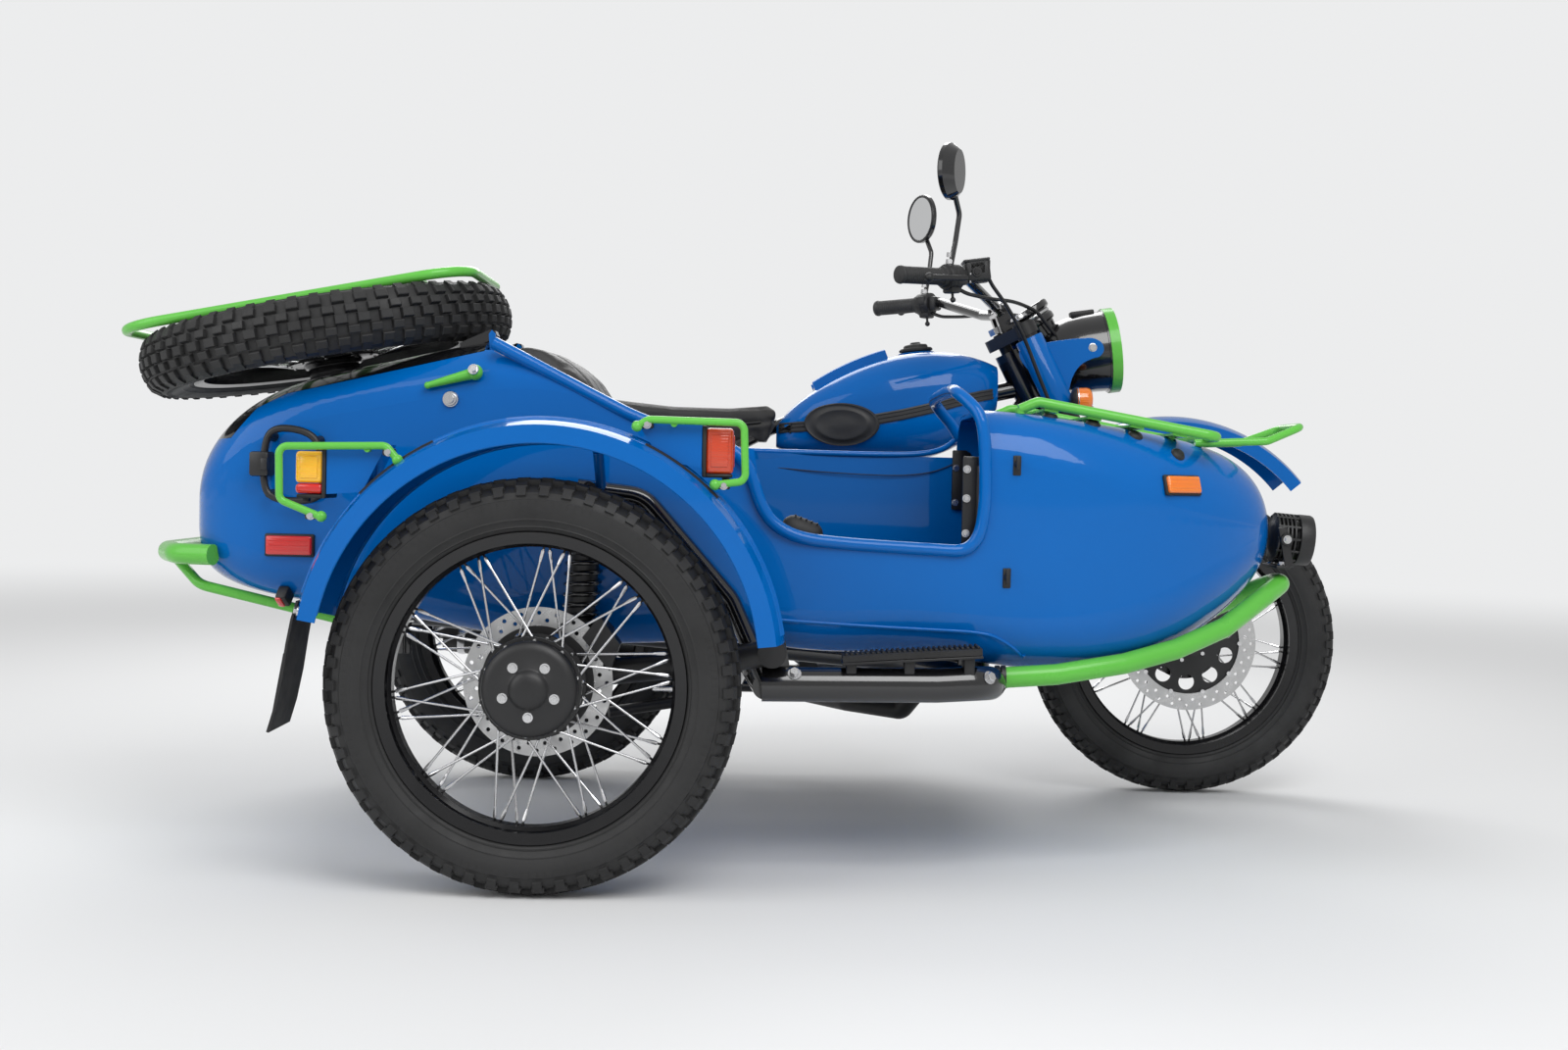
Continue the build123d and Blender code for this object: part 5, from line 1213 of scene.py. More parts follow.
chrome_ring = lathed(((0.0405, -0.0130), (0.0418, -0.0105), (0.0405, -0.0080)), 64, dial_base)
piece("speedometer_ring", chrome_ring, "steering", plated, crease=60.0)
face_white = surface("dial_white", (0.72, 0.72, 0.70), 0.45, 0.6, cloud=40.0, shade=0.06)
dial_stand = facing(dial_place + dial_up * 0.0065, dial_up)
dial = lathed(((0.0, 0.0), (0.0362, 0.0)), 48, dial_stand)
piece("speedometer_dial", dial, "steering", moulded_black)
marks = bmesh.new()
for index in range(31):
    angle = math.radians(225 - index * 9)
    turn = turned(angle) @ shift(0.0315, 0, 0.0005)
    brick(marks, dial_stand @ turn, (0.0034, 0.0006, 0.0003) if index % 5 else (0.0060, 0.0011, 0.0003))
needle = turned(math.radians(222)) @ shift(0.010, 0, 0.0022)
brick(marks, dial_stand @ needle, (0.034, 0.0012, 0.0008))
piece("speedometer_marks", marks, "steering", face_white)
clear, nodes, links, shader = new_material("clear_glass", Transmission_Weight=1.0, IOR=1.48, Roughness=0.02,
                                           Base_Color=(0.97, 0.985, 0.99, 1.0))
dust = use_group(nodes, handled, Scale=14.0, Tone=(0.97, 0.985, 0.99, 1.0), Shade=0.03, Smooth=0.01,
                 Dull=0.05)
links.new(dust.outputs["Roughness"], shader.inputs["Roughness"])
cover = lathed(((0.0, 0.0062), (0.018, 0.0056), (0.032, 0.0036), (0.0372, 0.0020)), 48, dial_stand)
piece("speedometer_glass", cover, "steering", clear, crease=60.0)

# reflector bowl and bulb shield behind the lens
bowl = lathed(((0.0, -0.0620), (0.012, -0.0620), (0.030, -0.0560), (0.048, -0.0440), (0.064, -0.0260),
               (0.0745, -0.0080), (0.0790, 0.0)), 72, lamp_stand)
mirror_bowl = surface("reflector", (0.86, 0.87, 0.88), 0.06, 0.14, cloud=20.0, shade=0.05, depth=0.01,
                      Metallic=1.0)
piece("reflector", bowl, "steering", mirror_bowl, crease=60.0)
shield = lathed(((0.0, -0.0180), (0.0130, -0.0185), (0.0145, -0.0240), (0.0138, -0.0300)), 32, lamp_stand)
piece("bulb_shield", shield, "steering", plated, crease=40.0)
lens_glass, nodes, links, shader = new_material("headlamp_glass", Transmission_Weight=1.0, IOR=1.50,
                                                Roughness=0.03, Base_Color=(0.96, 0.98, 0.985, 1.0))
spot = nodes.new("ShaderNodeTexCoord")
flutes = nodes.new("ShaderNodeTexWave")
flutes.bands_direction = "Y"
flutes.inputs["Scale"].default_value = 26.0
links.new(spot.outputs["Object"], flutes.inputs["Vector"])
emboss(nodes, links, flutes.outputs["Fac"], shader, 0.30, 0.0015)
DOME = ((0.0, 0.0210), (0.020, 0.0205), (0.040, 0.0186), (0.058, 0.0150), (0.070, 0.0110), (0.0790, 0.0060),
        (0.0800, 0.0020), (0.0790, 0.0010), (0.066, 0.0085), (0.040, 0.0150), (0.0, 0.0178))
dome = lathed(DOME, 72, lamp_stand)
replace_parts(piece("headlamp_dome", dome, "steering", lens_glass, crease=50.0), "headlamp_lens")

# Lamp ears: pressed blue plates with a rounded nose round the lamp bolt and a hollow below it, on covers
# that sleeve the fork's upper legs.
EAR = ((1046, 966), (1084, 973), (1130, 981), (1172, 986), (1206, 985), (1221, 971), (1217, 953), (1198, 945),
       (1174, 931), (1157, 906), (1149, 876), (1142, 846), (1116, 838), (1085, 890))
STEER_UP = (-0.454, 0, 0.891)
LEG_LEAN = Vector((-math.sin(math.radians(27)), 0, math.cos(math.radians(27))))
ears = bmesh.new()
sleeves = bmesh.new()
for side in (-1, 1):
    sheet = bpy.data.curves.new("ear_outline", "CURVE")
    sheet.dimensions = "2D"
    sheet.fill_mode = "BOTH"
    sheet.extrude = 0.0028
    sheet.bevel_depth = 0.0012
    sheet.bevel_resolution = 2
    edge = sheet.splines.new("BEZIER")
    edge.bezier_points.add(len(EAR) - 1)
    for control, (x, z) in zip(edge.bezier_points, EAR):
        control.co = (x / 1000, z / 1000, 0)
        control.handle_left_type = control.handle_right_type = "AUTO"
    edge.use_cyclic_u = True
    ear = from_curve(sheet)
    put(ear, stood(0, side * 104, 0) @ Matrix.Rotation(math.pi / 2, 4, "X"))
    bmesh.ops.recalc_face_normals(ear, faces=ear.faces)
    join(ears, ear)
    foot = at(1138.5, side * 100, 834.2)
    turn_on(sleeves, ((0.0225, -0.002), (0.0305, 0.0), (0.0305, 0.1675), (0.0292, 0.1700), (0.0225, 0.1706)),
            48, facing(foot, LEG_LEAN))
join(ears, sleeves)
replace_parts(piece("lamp_ears", ears, "steering", blue_paint, crease=40.0), "fork_covers")

# ear and clamp bolts, and the caps on the fork legs and stem
chrome = bmesh.new()
for side in (-1, 1):
    turn_on(chrome, ((0.0, 0.0052), (0.0068, 0.0050), (0.0076, 0.0036), (0.0106, 0.0034), (0.0114, 0.0024),
                     (0.0148, 0.0016), (0.0152, -0.0040)), 32,
            facing(at(1199, side * 104.5, 968), (0, side, 0)))
    for x, z in ((1003, 1061), (1030, 1035)):
        bolt(chrome, at(x, side * 40, z + 2), (0.5, 0, 0.86), across=0.010, high=0.005)
    top = at(1016.8 + 35.6 - 0.454 * 30, side * 100, 985 + 18.2 + 0.891 * 30)
    cone(chrome, 32, 0.0205, 0.0185, 0.006, facing(top, STEER_UP))
    cone(chrome, 6, 0.0120, 0.0115, 0.012, facing(top, STEER_UP))
stem = at(1016.8 - 0.454 * 26, 0, 985 + 0.891 * 26)
cone(chrome, 6, 0.0190, 0.0185, 0.014, facing(stem, STEER_UP))
piece("fork_bolts", chrome, "steering", plated, crease=50.0)

# turn lamps: amber barrels that face forward, on short black stems through the ears
stems = bmesh.new()
barrels = bmesh.new()
rims = bmesh.new()
for side in (-1, 1):
    turn_on(stems, ((0.0130, 0.0), (0.0130, 0.006), (0.0085, 0.010), (0.0085, 0.030)), 28,
            facing(at(1166, side * 104, 853), (0, side, 0)))
    stand = facing(at(1150, side * 152, 853), (1, 0, 0.04))
    turn_on(stems, ((0.0, -0.0040), (0.0140, -0.0030), (0.0230, 0.0020), (0.0262, 0.0060), (0.0262, 0.0090),
                    (0.0, 0.0090)), 40, stand)
    turn_on(barrels, ((0.0255, 0.0090), (0.0258, 0.0300), (0.0240, 0.0370), (0.0180, 0.0415),
                      (0.0090, 0.0435), (0.0, 0.0440)), 40, stand)
    turn_on(rims, ((0.0256, 0.0100), (0.0272, 0.0105), (0.0272, 0.0125), (0.0256, 0.0130)), 40, stand)
    cone(rims, 12, 0.0030, 0.0030, 0.004, stand @ shift(0, -0.014, 0.0430))
piece("turn_lamp_stems", stems, "steering", moulded_black)
piece("turn_lamp_rims", rims, "steering", plated)
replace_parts(piece("turn_lamp_barrels", barrels, "steering", amber, crease=60.0), "turn_lamps")

# ---------------------------------------------------------------------------------------------
# Fuel tank trim. A grooved rubber band and an oval rubber knee pad are bonded to each side of the pressed
# tank; the filler cap is black, and a blue parcel tray with raised lips is screwed to the top behind it.
tank_skin = skin_of("fuel_tank")
TANK_BAND = ((520, 781), (531, 781), (570, 784), (610, 787), (655, 791), (700, 797), (745, 805), (790, 814),
             (835, 825), (880, 837), (925, 850), (962, 859), (986, 864))
BAND_SECTION = ((-0.0115, 0.0), (-0.0110, 0.0030), (-0.0080, 0.0042), (-0.0060, 0.0026), (-0.0020, 0.0026),
                (0.0, 0.0042), (0.0020, 0.0026), (0.0060, 0.0026), (0.0080, 0.0042), (0.0110, 0.0030),
                (0.0115, 0.0))


def from_side(skin, x, z, side):
    """Point and outward direction on a skin, looked at squarely from one side."""
    spot, normal, _, _ = skin.ray_cast(at(x, side * 400, z), Vector((0, -side, 0)))
    if spot is None:
        spot, normal, _, _ = skin.find_nearest(at(x, side * 140, z))
    return spot, normal if normal.y * side > 0 else -normal


def strip(part, places, section):
    """Lays a cross-section of (across, height) points along skin points with their outward directions."""
    rows = []
    for index, (spot, normal) in enumerate(places):
        before, after = places[max(index - 1, 0)][0], places[min(index + 1, len(places) - 1)][0]
        side = normal.cross(after - before).normalized()
        rows.append([part.verts.new(spot + side * across + normal * high) for across, high in section])
    lay(part, rows)
    for row in (rows[0], rows[-1]):
        part.faces.new(row)
    bmesh.ops.recalc_face_normals(part, faces=part.faces)


band = bmesh.new()
pads = bmesh.new()
PAD_RINGS = ((0.0, 0.0078), (0.30, 0.0078), (0.58, 0.0074), (0.64, 0.0092), (0.70, 0.0092), (0.75, 0.0070),
             (0.88, 0.0064), (0.93, 0.0086), (0.97, 0.0070), (1.0, 0.0010))
PAD_STEPS = 48
for side in (-1, 1):
    strip(band, [from_side(tank_skin, x, z, side) for x, z in TANK_BAND], BAND_SECTION)
    rings = []
    for share, high in PAD_RINGS:
        ring = []
        for index in range(PAD_STEPS if share else 1):
            angle = TURN * index / PAD_STEPS
            spot, normal = from_side(tank_skin, 663 + 80 * share * math.cos(angle),
                                     792 + 44 * share * math.sin(angle), side)
            ring.append(pads.verts.new(spot + normal * high))
        rings.append(ring)
    for inner, outer in zip(rings, rings[1:]):
        for index in range(PAD_STEPS):
            after = (index + 1) % PAD_STEPS
            if len(inner) == 1:
                pads.faces.new((inner[0], outer[index], outer[after]))
            else:
                pads.faces.new((inner[index], outer[index], outer[after], inner[after]))
bmesh.ops.recalc_face_normals(pads, faces=pads.faces)
tank_rubber = surface("tank_rubber", (0.030, 0.030, 0.031), 0.48, 0.64, cloud=22.0, shade=0.3, pit=1000.0,
                      depth=0.15)
piece("tank_bands", band, "chassis", tank_rubber, crease=30.0)
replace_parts(piece("knee_pads", pads, "chassis", tank_rubber, crease=50.0), "tank_trim")
spot, normal = dropped_on(tank_skin, 828, 0, 1100)
cap_stand = facing(spot, normal)
cap = lathed(((0.0, 0.0265), (0.0100, 0.0260), (0.0120, 0.0225), (0.0240, 0.0205), (0.0262, 0.0180),
              (0.0270, 0.0140), (0.0340, 0.0130), (0.0355, 0.0105), (0.0355, 0.0070), (0.0320, 0.0050),
              (0.0300, -0.0040)), 64, cap_stand)
for index in range(24):
    block(cap, cap_stand @ turned(TURN * index / 24) @ shift(0.0352, 0, 0.0088),
          (0.0030, 0.0042, 0.0050), 0.0008, 1)
piece("filler_cap", cap, "chassis", moulded_black, crease=30.0)
neck = lathed(((0.0300, 0.0), (0.0385, 0.0006), (0.0395, 0.0026), (0.0370, 0.0040), (0.0300, 0.0044)), 64,
              cap_stand)
piece("filler_neck", neck, "chassis", blue_paint, crease=50.0)
tray = bmesh.new()
TRAY_UP = Vector((-0.38, 0, 0.92))
tray_line = []
for x in range(604, 762, 12):
    spot, _ = dropped_on(tank_skin, x, 0, 1100)
    tray_line.append((spot + Vector((0, 0, 0.006)), TRAY_UP))
TRAY = ((-0.066, -0.010), (-0.066, 0.012), (-0.062, 0.014), (-0.058, 0.012), (-0.056, 0.001), (0.056, 0.001),
        (0.058, 0.012), (0.062, 0.014), (0.066, 0.012), (0.066, -0.010))
strip(tray, tray_line, TRAY)
piece("tank_tray", tray, "chassis", blue_paint, crease=30.0)
for x in (628, 736):
    spot, _ = dropped_on(tank_skin, x, 0, 1100)
    studs = bmesh.new()
    for y in (-0.034, 0.034):
        bolt(studs, spot + Vector((0, y, 0.0065)), TRAY_UP, across=0.010)
    piece("tank_tray_bolts_%d" % x, studs, "chassis", plated)

# ---------------------------------------------------------------------------------------------
# Sidecar lamps on the fender. Pressed blue housings end in black bezels; the front lens is one orange-red
# block, the rear one is yellow over a red strip. Green guards end in balls, held by black clips.
LENS_Y = ARCH_MIDDLE[1]
# name, body of the lens: x, z, length, height; finish; side of the bezel
LENSES = (("front_side_lens", 432, 717, 0.044, 0.072, orange_red, -1),
          ("rear_side_lens", -214, 678, 0.044, 0.050, yellow, 1),
          ("rear_side_stop_lens", -214, 644, 0.044, 0.016, red, 1))
for name, x, z, length, high, finish, bezel_side in LENSES:
    lens = bmesh.new()
    stand = stood(x, LENS_Y, z)
    block(lens, stand, (length, 0.074, high), 0.006, 3)
    if high > 0.03:
        for y in (-0.0374, 0.0374):
            block(lens, stand @ shift(0, y, 0), (length * 0.62, 0.0030, high * 0.70), 0.0014, 2)
        block(lens, stand @ shift(-bezel_side * 0.022, 0, 0), (0.003, 0.050, high * 0.70), 0.0014, 2)
    made = piece(name, lens, "chassis", finish, crease=30.0)
    if name == "front_side_lens":
        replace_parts(made, "lamp_lenses")
bezels = bmesh.new()
for x, z, high, out in ((408, 716, 0.082, 1), (-190, 670, 0.082, -1)):
    block(bezels, stood(x, LENS_Y, z), (0.007, 0.081, high), 0.0028)
    block(bezels, stood(x + out * 22, LENS_Y, z - high * 500 + 3), (0.044, 0.070, 0.006), 0.002)
    block(bezels, stood(x + out * 34, LENS_Y - 10, z - high * 500 - 1), (0.012, 0.014, 0.012), 0.003)
piece("side_lens_bezels", bezels, "chassis", moulded_black)
# rubber gaskets where the housings sit on the fender
gasket = bmesh.new()
for low, high in ((44, 66), (116, 139)):
    for y in (-1187, -1093):
        places = []
        for degrees in range(low, high, 3):
            spot, normal, out = from_above(y, degrees)
            if spot is not None:
                places.append((spot, normal if normal.dot(out) > 0 else -normal))
        if len(places) > 2:
            strip(gasket, places, ((-0.0035, 0.0), (-0.0030, 0.0028), (0.0030, 0.0028), (0.0035, 0.0)))
piece("lamp_gaskets", gasket, "chassis", rubber)
balls = bmesh.new()
clips = bmesh.new()
nuts = bmesh.new()
for x, z in ((302, 753), (426, 664), (-72, 692), (-190, 601)):
    ball(balls, 16, 10, 0.0088, at(x, -1192, z))
for x, z in ((318, 760), (440, 667), (-86, 708), (-206, 606)):
    block(clips, stood(x, -1186, z - 4), (0.020, 0.016, 0.012), 0.003)
    bolt(nuts, at(x, -1194, z - 4), (0, -1, 0), across=0.009, high=0.004)
piece("guard_ends", balls, "chassis", green_paint, crease=60.0)
piece("guard_clips", clips, "chassis", moulded_black)
piece("guard_bolts", nuts, "chassis", plated)

# ---------------------------------------------------------------------------------------------
# Rear lamp of the motorcycle: red lens in a black case over a blank plate, with amber turn lamps on a black
# cross bar. The nose spot lamp is a finned black casting on a bolted bracket.
dress(moulded_black, "tail_lamp")
PLATE_LEAN = 0.10
tail = bmesh.new()
block(tail, stood(-389, 0, 668) @ pitched(-0.05), (0.012, 0.070, 0.056), 0.004, 3)
piece("tail_lens", tail, "chassis", red, crease=30.0)
plate_face = surface("blank_plate", (0.72, 0.73, 0.74), 0.35, 0.5, cloud=14.0, shade=0.1, pit=200.0,
                     depth=0.05)
plate = bmesh.new()
block(plate, stood(-391, 0, 560) @ pitched(PLATE_LEAN), (0.0022, 0.178, 0.102), 0.0009, 1)
piece("number_plate_blank", plate, "chassis", plate_face)
holder = bmesh.new()
block(holder, stood(-386, 0, 580) @ pitched(PLATE_LEAN), (0.004, 0.060, 0.150), 0.001, 1)
piece("number_plate_holder", holder, "chassis", satin_black)
rear_domes = bmesh.new()
for side in (-1, 1):
    stand = facing(at(-338, side * 140, 662), (0, side, 0))
    turn_on(rear_domes, ((0.0, 0.0), (0.0292, 0.0), (0.0296, 0.010), (0.0296, 0.040), (0.0270, 0.0462),
                         (0.0160, 0.0492), (0.0, 0.0500)), 40, stand)
piece("rear_turn_lamps", rear_domes, "chassis", amber, crease=50.0)

spot_look = Vector((0.992, 0, -0.08)).normalized()
spot_back = at(1430, TUB_MIDDLE, 587)
spot_stand = facing(spot_back, spot_look)
SPOT = [(0.0, 0.004), (0.020, 0.004), (0.030, 0.008)]
for index in range(5):
    low = 0.010 + index * 0.0074
    SPOT += [(0.0335, low), (0.0452, low + 0.0005), (0.0458, low + 0.0030), (0.0452, low + 0.0036),
             (0.0335, low + 0.0040)]
SPOT += [(0.0380, 0.0500), (0.0460, 0.0520), (0.0466, 0.0560), (0.0466, 0.0740), (0.0452, 0.0775),
         (0.0412, 0.0780), (0.0405, 0.0740)]
spot_body = lathed(SPOT, 56, spot_stand)
for angle in range(12):
    turn = turned(TURN * angle / 12)
    block(spot_body, spot_stand @ turn @ shift(0.0440, 0, 0.0300), (0.0036, 0.0045, 0.0420), 0.0008, 1)
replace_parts(piece("nose_spot_lamp", spot_body, "chassis", cast_black, crease=30.0),
            "nose_lamp")
spot_bowl = lathed(((0.0, 0.0560), (0.0120, 0.0570), (0.0280, 0.0640), (0.0404, 0.0735)), 40, spot_stand)
piece("nose_spot_reflector", spot_bowl, "chassis", mirror_bowl, crease=60.0)
spot_glass = lathed(((0.0, 0.0770), (0.0250, 0.0766), (0.0406, 0.0752), (0.0406, 0.0738)), 48, spot_stand)
piece("nose_spot_glass", spot_glass, "chassis", clear, crease=60.0)
mount = bmesh.new()
for side in (-1, 1):
    block(mount, stood(1452, TUB_MIDDLE + side * 50, 570) @ pitched(-0.2), (0.016, 0.005, 0.075), 0.002)
    cone(mount, 20, 0.0120, 0.0110, 0.008, facing(at(1452, TUB_MIDDLE + side * 54, 584), (0, side, 0)))
block(mount, stood(1448, TUB_MIDDLE, 533), (0.026, 0.106, 0.006), 0.002)
piece("nose_spot_bracket", mount, "chassis", satin_black)
nose_bolts = bmesh.new()
for side in (-1, 1):
    bolt(nose_bolts, at(1452, TUB_MIDDLE + side * 58, 584), (0, side, 0), across=0.010)
    bolt(nose_bolts, at(1448, TUB_MIDDLE + side * 36, 537), (0, 0, 1), across=0.009)
piece("nose_spot_bolts", nose_bolts, "chassis", plated)

# ---------------------------------------------------------------------------------------------
# Sidecar running gear. Powder-coated tube sill with a ribbed rubber foot strip on top, bright bolts where the
# sidecar clamps to the frame, and springs over the shock absorbers' bodies.
SILL_Y = -1000
SILL_SLOPE = -0.07
strip_mat = bmesh.new()
STRIP_LINE = ((640, 384), (700, 389), (770, 394), (830, 398), (872, 401))
mat_places = [(at(x, SILL_Y, z - 7), Vector((SILL_SLOPE, 0, 0.997))) for x, z in STRIP_LINE]
strip(strip_mat, mat_places, ((-0.030, -0.005), (-0.030, 0.004), (-0.027, 0.006), (0.027, 0.006),
                              (0.030, 0.004), (0.030, -0.005)))
for index in range(26):
    share = (index + 0.5) / 26
    ridge = stood(642 + 228 * share, SILL_Y, 384.5 + 17 * share) @ pitched(SILL_SLOPE)
    block(strip_mat, ridge, (0.0052, 0.052, 0.0045), 0.0012, 1)
piece("foot_strip", strip_mat, "chassis", rubber, crease=30.0)
shelf = bmesh.new()
for x, z in ((655, 372), (752, 378), (852, 386)):
    block(shelf, stood(x, SILL_Y, z - 14), (0.018, 0.040, 0.044), 0.003)
block(shelf, stood(756, SILL_Y, 377.5) @ pitched(SILL_SLOPE), (0.236, 0.062, 0.005), 0.002)
piece("foot_strip_shelf", shelf, "chassis", satin_black)
fixings = bmesh.new()
sill_skin = skin_of("sidecar_frame")
for x, z, y in ((524, 381, -1010), (560, 352, -1030), (884, 352, -1030)):
    spot, normal = set_on(sill_skin, x, z, y)
    bolt(fixings, spot, normal, across=0.015, high=0.007)
piece("sill_bolts", fixings, "chassis", plated)
for x in (908, 918):
    clamp = lathed(((0.0185, -0.004), (0.0210, -0.0036), (0.0210, 0.0036), (0.0185, 0.004)), 40,
                   facing(at(x, -940, 343), (1, 0, 0)))
    piece("bumper_collar_%d" % x, clamp, "chassis", satin_black)

COIL_STEPS = 12
WIRE_SIDES = 6


def spring(part, low, high, radius, thick, turns):
    """Coil round the line from low to high: a small circle spun and climbed at once."""
    run = high - low
    stand = facing(low, run)
    ring = bmesh.new()
    made = bmesh.ops.create_circle(ring, segments=WIRE_SIDES, radius=thick,
                                   matrix=shift(radius, 0, 0) @ Matrix.Rotation(math.pi / 2, 4, "X"))
    steps = turns * COIL_STEPS
    bmesh.ops.spin(ring, geom=made["verts"] + ring.edges[:], cent=(0, 0, 0), axis=(0, 0, 1),
                   angle=TURN * turns, dvec=(0, 0, run.length / steps), steps=steps)
    bmesh.ops.holes_fill(ring, edges=ring.edges[:], sides=WIRE_SIDES)
    bmesh.ops.recalc_face_normals(ring, faces=ring.faces)
    put(ring, stand)
    join(part, ring)


COLLAR = 0.0345
springs = bmesh.new()
covers = bmesh.new()
# shock's lower and upper eye
for low, high in (((42, -138, 352), (62, -138, 722)), ((42, 138, 352), (62, 138, 722)),
                  ((196, -1016, 372), (214, -1016, 652))):
    foot, head = at(*low), at(*high)
    spring(springs, foot.lerp(head, 0.22), foot.lerp(head, 0.78), 0.0285, 0.0042, 9)
    for share in (0.20, 0.80):
        turn_on(covers, ((0.020, -0.006), (COLLAR - 0.002, -0.006), (COLLAR, -0.004), (COLLAR, 0.004),
                         (COLLAR - 0.002, 0.006), (0.020, 0.006)), 32,
                facing(foot.lerp(head, share), head - foot))
    for spot in (foot, head):
        bolt(covers, spot + Vector((0, -0.020, 0)), (0, -1, 0), across=0.015)
piece("shock_springs", springs, "chassis", black_paint, crease=60.0)
piece("shock_collars", covers, "chassis", satin_black)
front_springs = bmesh.new()
front_collars = bmesh.new()
for side in (-1, 1):
    head, foot = at(1222, side * 106, 792), at(1418, side * 106, 352)
    spring(front_springs, head.lerp(foot, 0.30), head.lerp(foot, 0.84), 0.0268, 0.0038, 11)
    for share in (0.28, 0.86):
        turn_on(front_collars, ((0.020, -0.005), (0.0305, -0.005), (0.0320, 0.0), (0.0305, 0.005),
                                (0.020, 0.005)), 32, facing(head.lerp(foot, share), foot - head))
piece("front_shock_springs", front_springs, "steering", black_paint, crease=60.0)
piece("front_shock_collars", front_collars, "steering", satin_black)

# ---------------------------------------------------------------------------------------------
# Engine and drive: sand-cast cases with machined covers, black finned barrels, a black exhaust with bright
# clamps, and ribbed rubber foot pegs. Cables sleeved in black run down from the handlebar.
cast_alloy = surface("cast_alloy", (0.36, 0.36, 0.365), 0.42, 0.60, cloud=16.0, shade=0.35, pit=700.0,
                     depth=0.35, Metallic=0.85)
crinkle = surface("crinkle_black", (0.016, 0.016, 0.017), 0.50, 0.66, cloud=24.0, shade=0.25, pit=650.0,
                  cells=0.8, depth=0.3)
heat_black = surface("heat_black", (0.014, 0.014, 0.014), 0.38, 0.56, cloud=9.0, shade=0.35, pit=600.0,
                     depth=0.12)
cable_black = surface("cable_black", (0.010, 0.010, 0.011), 0.34, 0.46, cloud=40.0, shade=0.2, pit=1300.0,
                      depth=0.1)
dress(cast_alloy, "engine")
dress(crinkle, "cylinders", "final_drive")
dress(heat_black, "exhaust")
dress(cable_black, "cables")
dress(satin_black, "footrests")
# middle of the cylinders: x, z
BORE = (745, 415)
casing = bmesh.new()
turn_on(casing, ((0.0, 0.020), (0.060, 0.019), (0.092, 0.014), (0.098, 0.008), (0.098, -0.004)), 64,
        facing(at(855, 0, BORE[1]), (1, 0, 0)))
for index in range(8):
    angle = TURN * index / 8
    spot = at(857, 88 * math.cos(angle), BORE[1] + 88 * math.sin(angle)) + Vector((0.009, 0, 0))
    bolt(casing, spot, (1, 0, 0), across=0.010)
for side in (-1, 1):
    for x, z in ((690, 370), (800, 370), (690, 460), (800, 460)):
        bolt(casing, at(x, side * 360, z), (0, side, 0), across=0.010, high=0.005)
piece("engine_covers", casing, "chassis", plated)


def prism(part, outline, y_from, y_to, round_off=0.003):
    """Side view outline of (x, z) corners in mm, from y_from to y_to, with its edges rounded."""
    shape = bmesh.new()
    shape.faces.new([shape.verts.new(at(x, y_from, z)) for x, z in outline])
    pull(shape, shape.faces[:], (0, (y_to - y_from) / 1000, 0))
    bmesh.ops.bevel(shape, geom=shape.edges[:], offset=round_off, segments=2, affect="EDGES", profile=0.5,
                    material=-1)
    join(part, shape)


cleaner = bmesh.new()
prism(cleaner, ((426, 500), (508, 538), (548, 556), (564, 702), (438, 719), (374, 560)), -74, 74, 0.007)
for z in (560, 592, 624, 656, 688):
    for side in (-1, 1):
        block(cleaner, stood(478, side * 75, z) @ pitched(0.12), (0.120, 0.006, 0.007), 0.002)
piece("air_cleaner_case", cleaner, "chassis", crinkle, crease=40.0)
plates = bmesh.new()
plate_bolts = bmesh.new()
GEARBOX = ((432, 306), (566, 296), (592, 330), (596, 470), (566, 520), (548, 516), (430, 428), (414, 336))
SUMP_FINS = (272, 284, 296, 308)
for side in (-1, 1):
    prism(plates, GEARBOX, side * 116, side * 126)
    for x, z in ((444, 322), (552, 312), (580, 356), (582, 452), (556, 500), (452, 424), (430, 368)):
        bolt(plate_bolts, at(x, side * 125.5, z), (0, side, 0), across=0.010)
    turn_on(plates, ((0.056, -0.004), (0.100, -0.004), (0.098, 0.010), (0.092, 0.014), (0.056, 0.014)), 56,
            facing(at(BORE[0], side * 116, BORE[1]), (0, side, 0)))
    for index in range(8):
        angle = TURN * (index + 0.5) / 8
        spot = at(BORE[0] + 86 * math.cos(angle), side * 130, BORE[1] + 86 * math.sin(angle))
        bolt(plate_bolts, spot, (0, side, 0), across=0.010)
    for z in SUMP_FINS:
        block(plates, stood(755, side * 119, z), (0.260, 0.014, 0.0045), 0.0015)
    turn_on(plates, ((0.0, 0.016), (0.030, 0.015), (0.036, 0.010), (0.038, -0.004)), 40,
            facing(at(640, side * 116, 530), (0, side, 0)))
    # carburettor: body, float bowl, bell mouth and slide cap
    block(plates, stood(676, side * 276, 500), (0.050, 0.044, 0.058), 0.007, 3)
    block(plates, stood(676, side * 276, 458), (0.044, 0.050, 0.034), 0.008, 3)
    turn_on(plates, ((0.016, -0.004), (0.019, 0.0), (0.019, 0.016), (0.014, 0.020), (0.0, 0.020)), 32,
            facing(at(676, side * 276, 528), (0, 0, 1)))
turn_on(plates, ((0.0, 0.128), (0.048, 0.126), (0.056, 0.118), (0.058, 0.020), (0.058, -0.020)), 56,
        facing(at(830, 0, 548), (1, 0, 0)))
piece("engine_castings", plates, "chassis", cast_alloy, crease=40.0)
piece("engine_bolts", plate_bolts, "chassis", plated)
head_fins = bmesh.new()
for side in (-1, 1):
    for index in range(7):
        fin = stood(BORE[0], side * (242 + index * 11.6), BORE[1])
        block(head_fins, fin, (0.180, 0.0036, 0.160), 0.0012, 1)
    for z in (380, 398, 416, 434, 452):
        block(head_fins, stood(BORE[0], side * 361, z), (0.084, 0.005, 0.0055), 0.0018, 1)
piece("cylinder_head_fins", head_fins, "chassis", crinkle)
bands = bmesh.new()
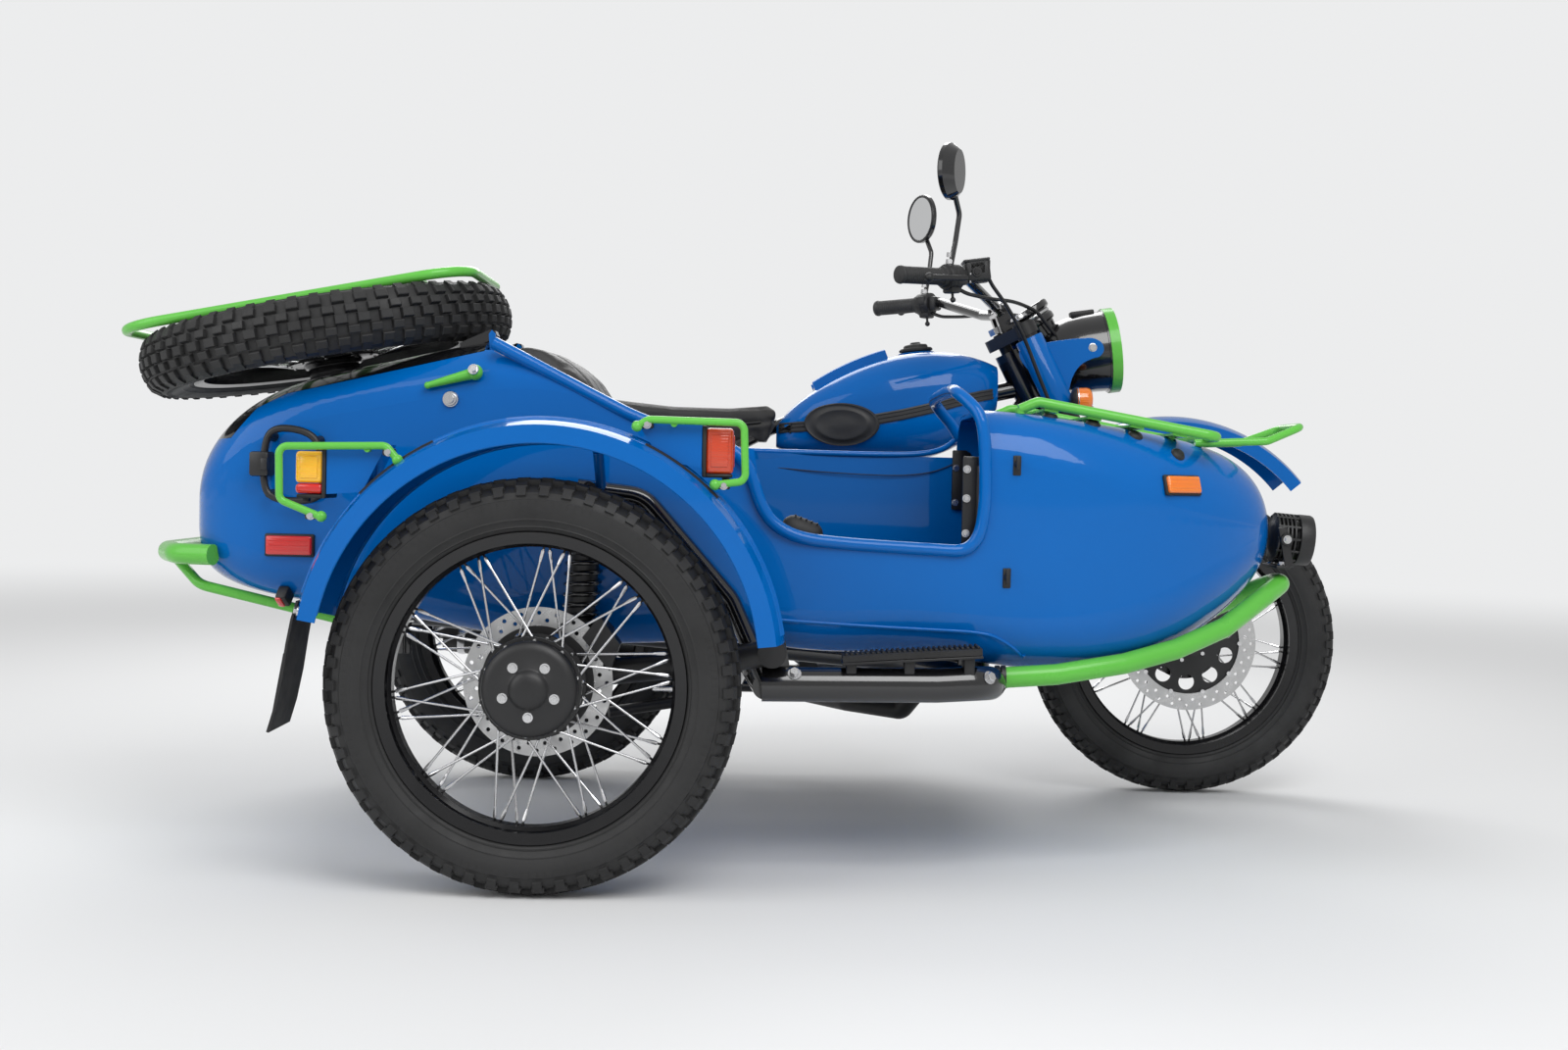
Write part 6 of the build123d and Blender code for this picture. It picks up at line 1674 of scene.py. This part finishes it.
for share in (0.06, 0.50, 0.93):
    spot = at(360, 210, 226).lerp(at(-230, 214, 300), share)
    turn_on(bands, ((0.0440, -0.009), (0.0462, -0.008), (0.0468, 0.0), (0.0462, 0.008), (0.0440, 0.009)), 48,
            facing(spot, (-590, 4, 74)))
piece("silencer_bands", bands, "chassis", plated, crease=40.0)
pegs = bmesh.new()
for side in (-1, 1):
    for index in range(12):
        turn_on(pegs, ((0.0130, 0.0), (0.0178, 0.0010), (0.0178, 0.0048), (0.0130, 0.0058)), 20,
                facing(at(600, side * (172 + index * 6.2), 285), (0, side, 0)))
    turn_on(pegs, ((0.0, 0.004), (0.0160, 0.0035), (0.0190, 0.0), (0.0150, -0.003)), 24,
            facing(at(600, side * 249, 285), (0, side, 0)))
piece("peg_rubbers", pegs, "chassis", rubber, crease=40.0)
drive_bolts = bmesh.new()
for index in range(6):
    angle = TURN * (index + 0.5) / 6
    bolt(drive_bolts, at(78 * math.cos(angle), -148, 335 + 78 * math.sin(angle)), (0, -1, 0), across=0.011)
piece("final_drive_bolts", drive_bolts, "chassis", plated)

# ---------------------------------------------------------------------------------------------
# Cockpit: black rubber floor mat and an oval step pad on the near wall. Rubber feet stand under the tubes of
# the green nose rack.
mat = bmesh.new()
mat_stand = stood(705, TUB_MIDDLE, 404)
block(mat, mat_stand, (0.290, 0.430, 0.008), 0.003)
for index in range(13):
    block(mat, mat_stand @ shift(-0.126 + index * 0.021, 0, 0.0052), (0.006, 0.400, 0.004), 0.0012, 1)
piece("floor_mat", mat, "chassis", rubber)
step_pad = bmesh.new()
pad_stand = stood(568, -926, 583) @ pitched(0.35)
block(step_pad, pad_stand, (0.074, 0.046, 0.050), 0.021, 5)
for index in range(5):
    block(step_pad, pad_stand @ shift(-0.020 + index * 0.010, 0, 0.0245), (0.003, 0.030, 0.003), 0.001, 1)
piece("step_pad", step_pad, "chassis", rubber)
feet = bmesh.new()
for x, z in ((1000, 795), (1075, 789), (1150, 779), (1225, 764)):
    for side in (-1, 1):
        spot, normal = dropped_on(tub_skin, x, TUB_MIDDLE + side * 168, 1000)
        if spot is not None:
            turn_on(feet, ((0.0, 0.006), (0.0100, 0.0055), (0.0130, 0.002), (0.0135, -0.001)), 20,
                    facing(spot, normal))
piece("rack_feet", feet, "chassis", rubber, crease=50.0)
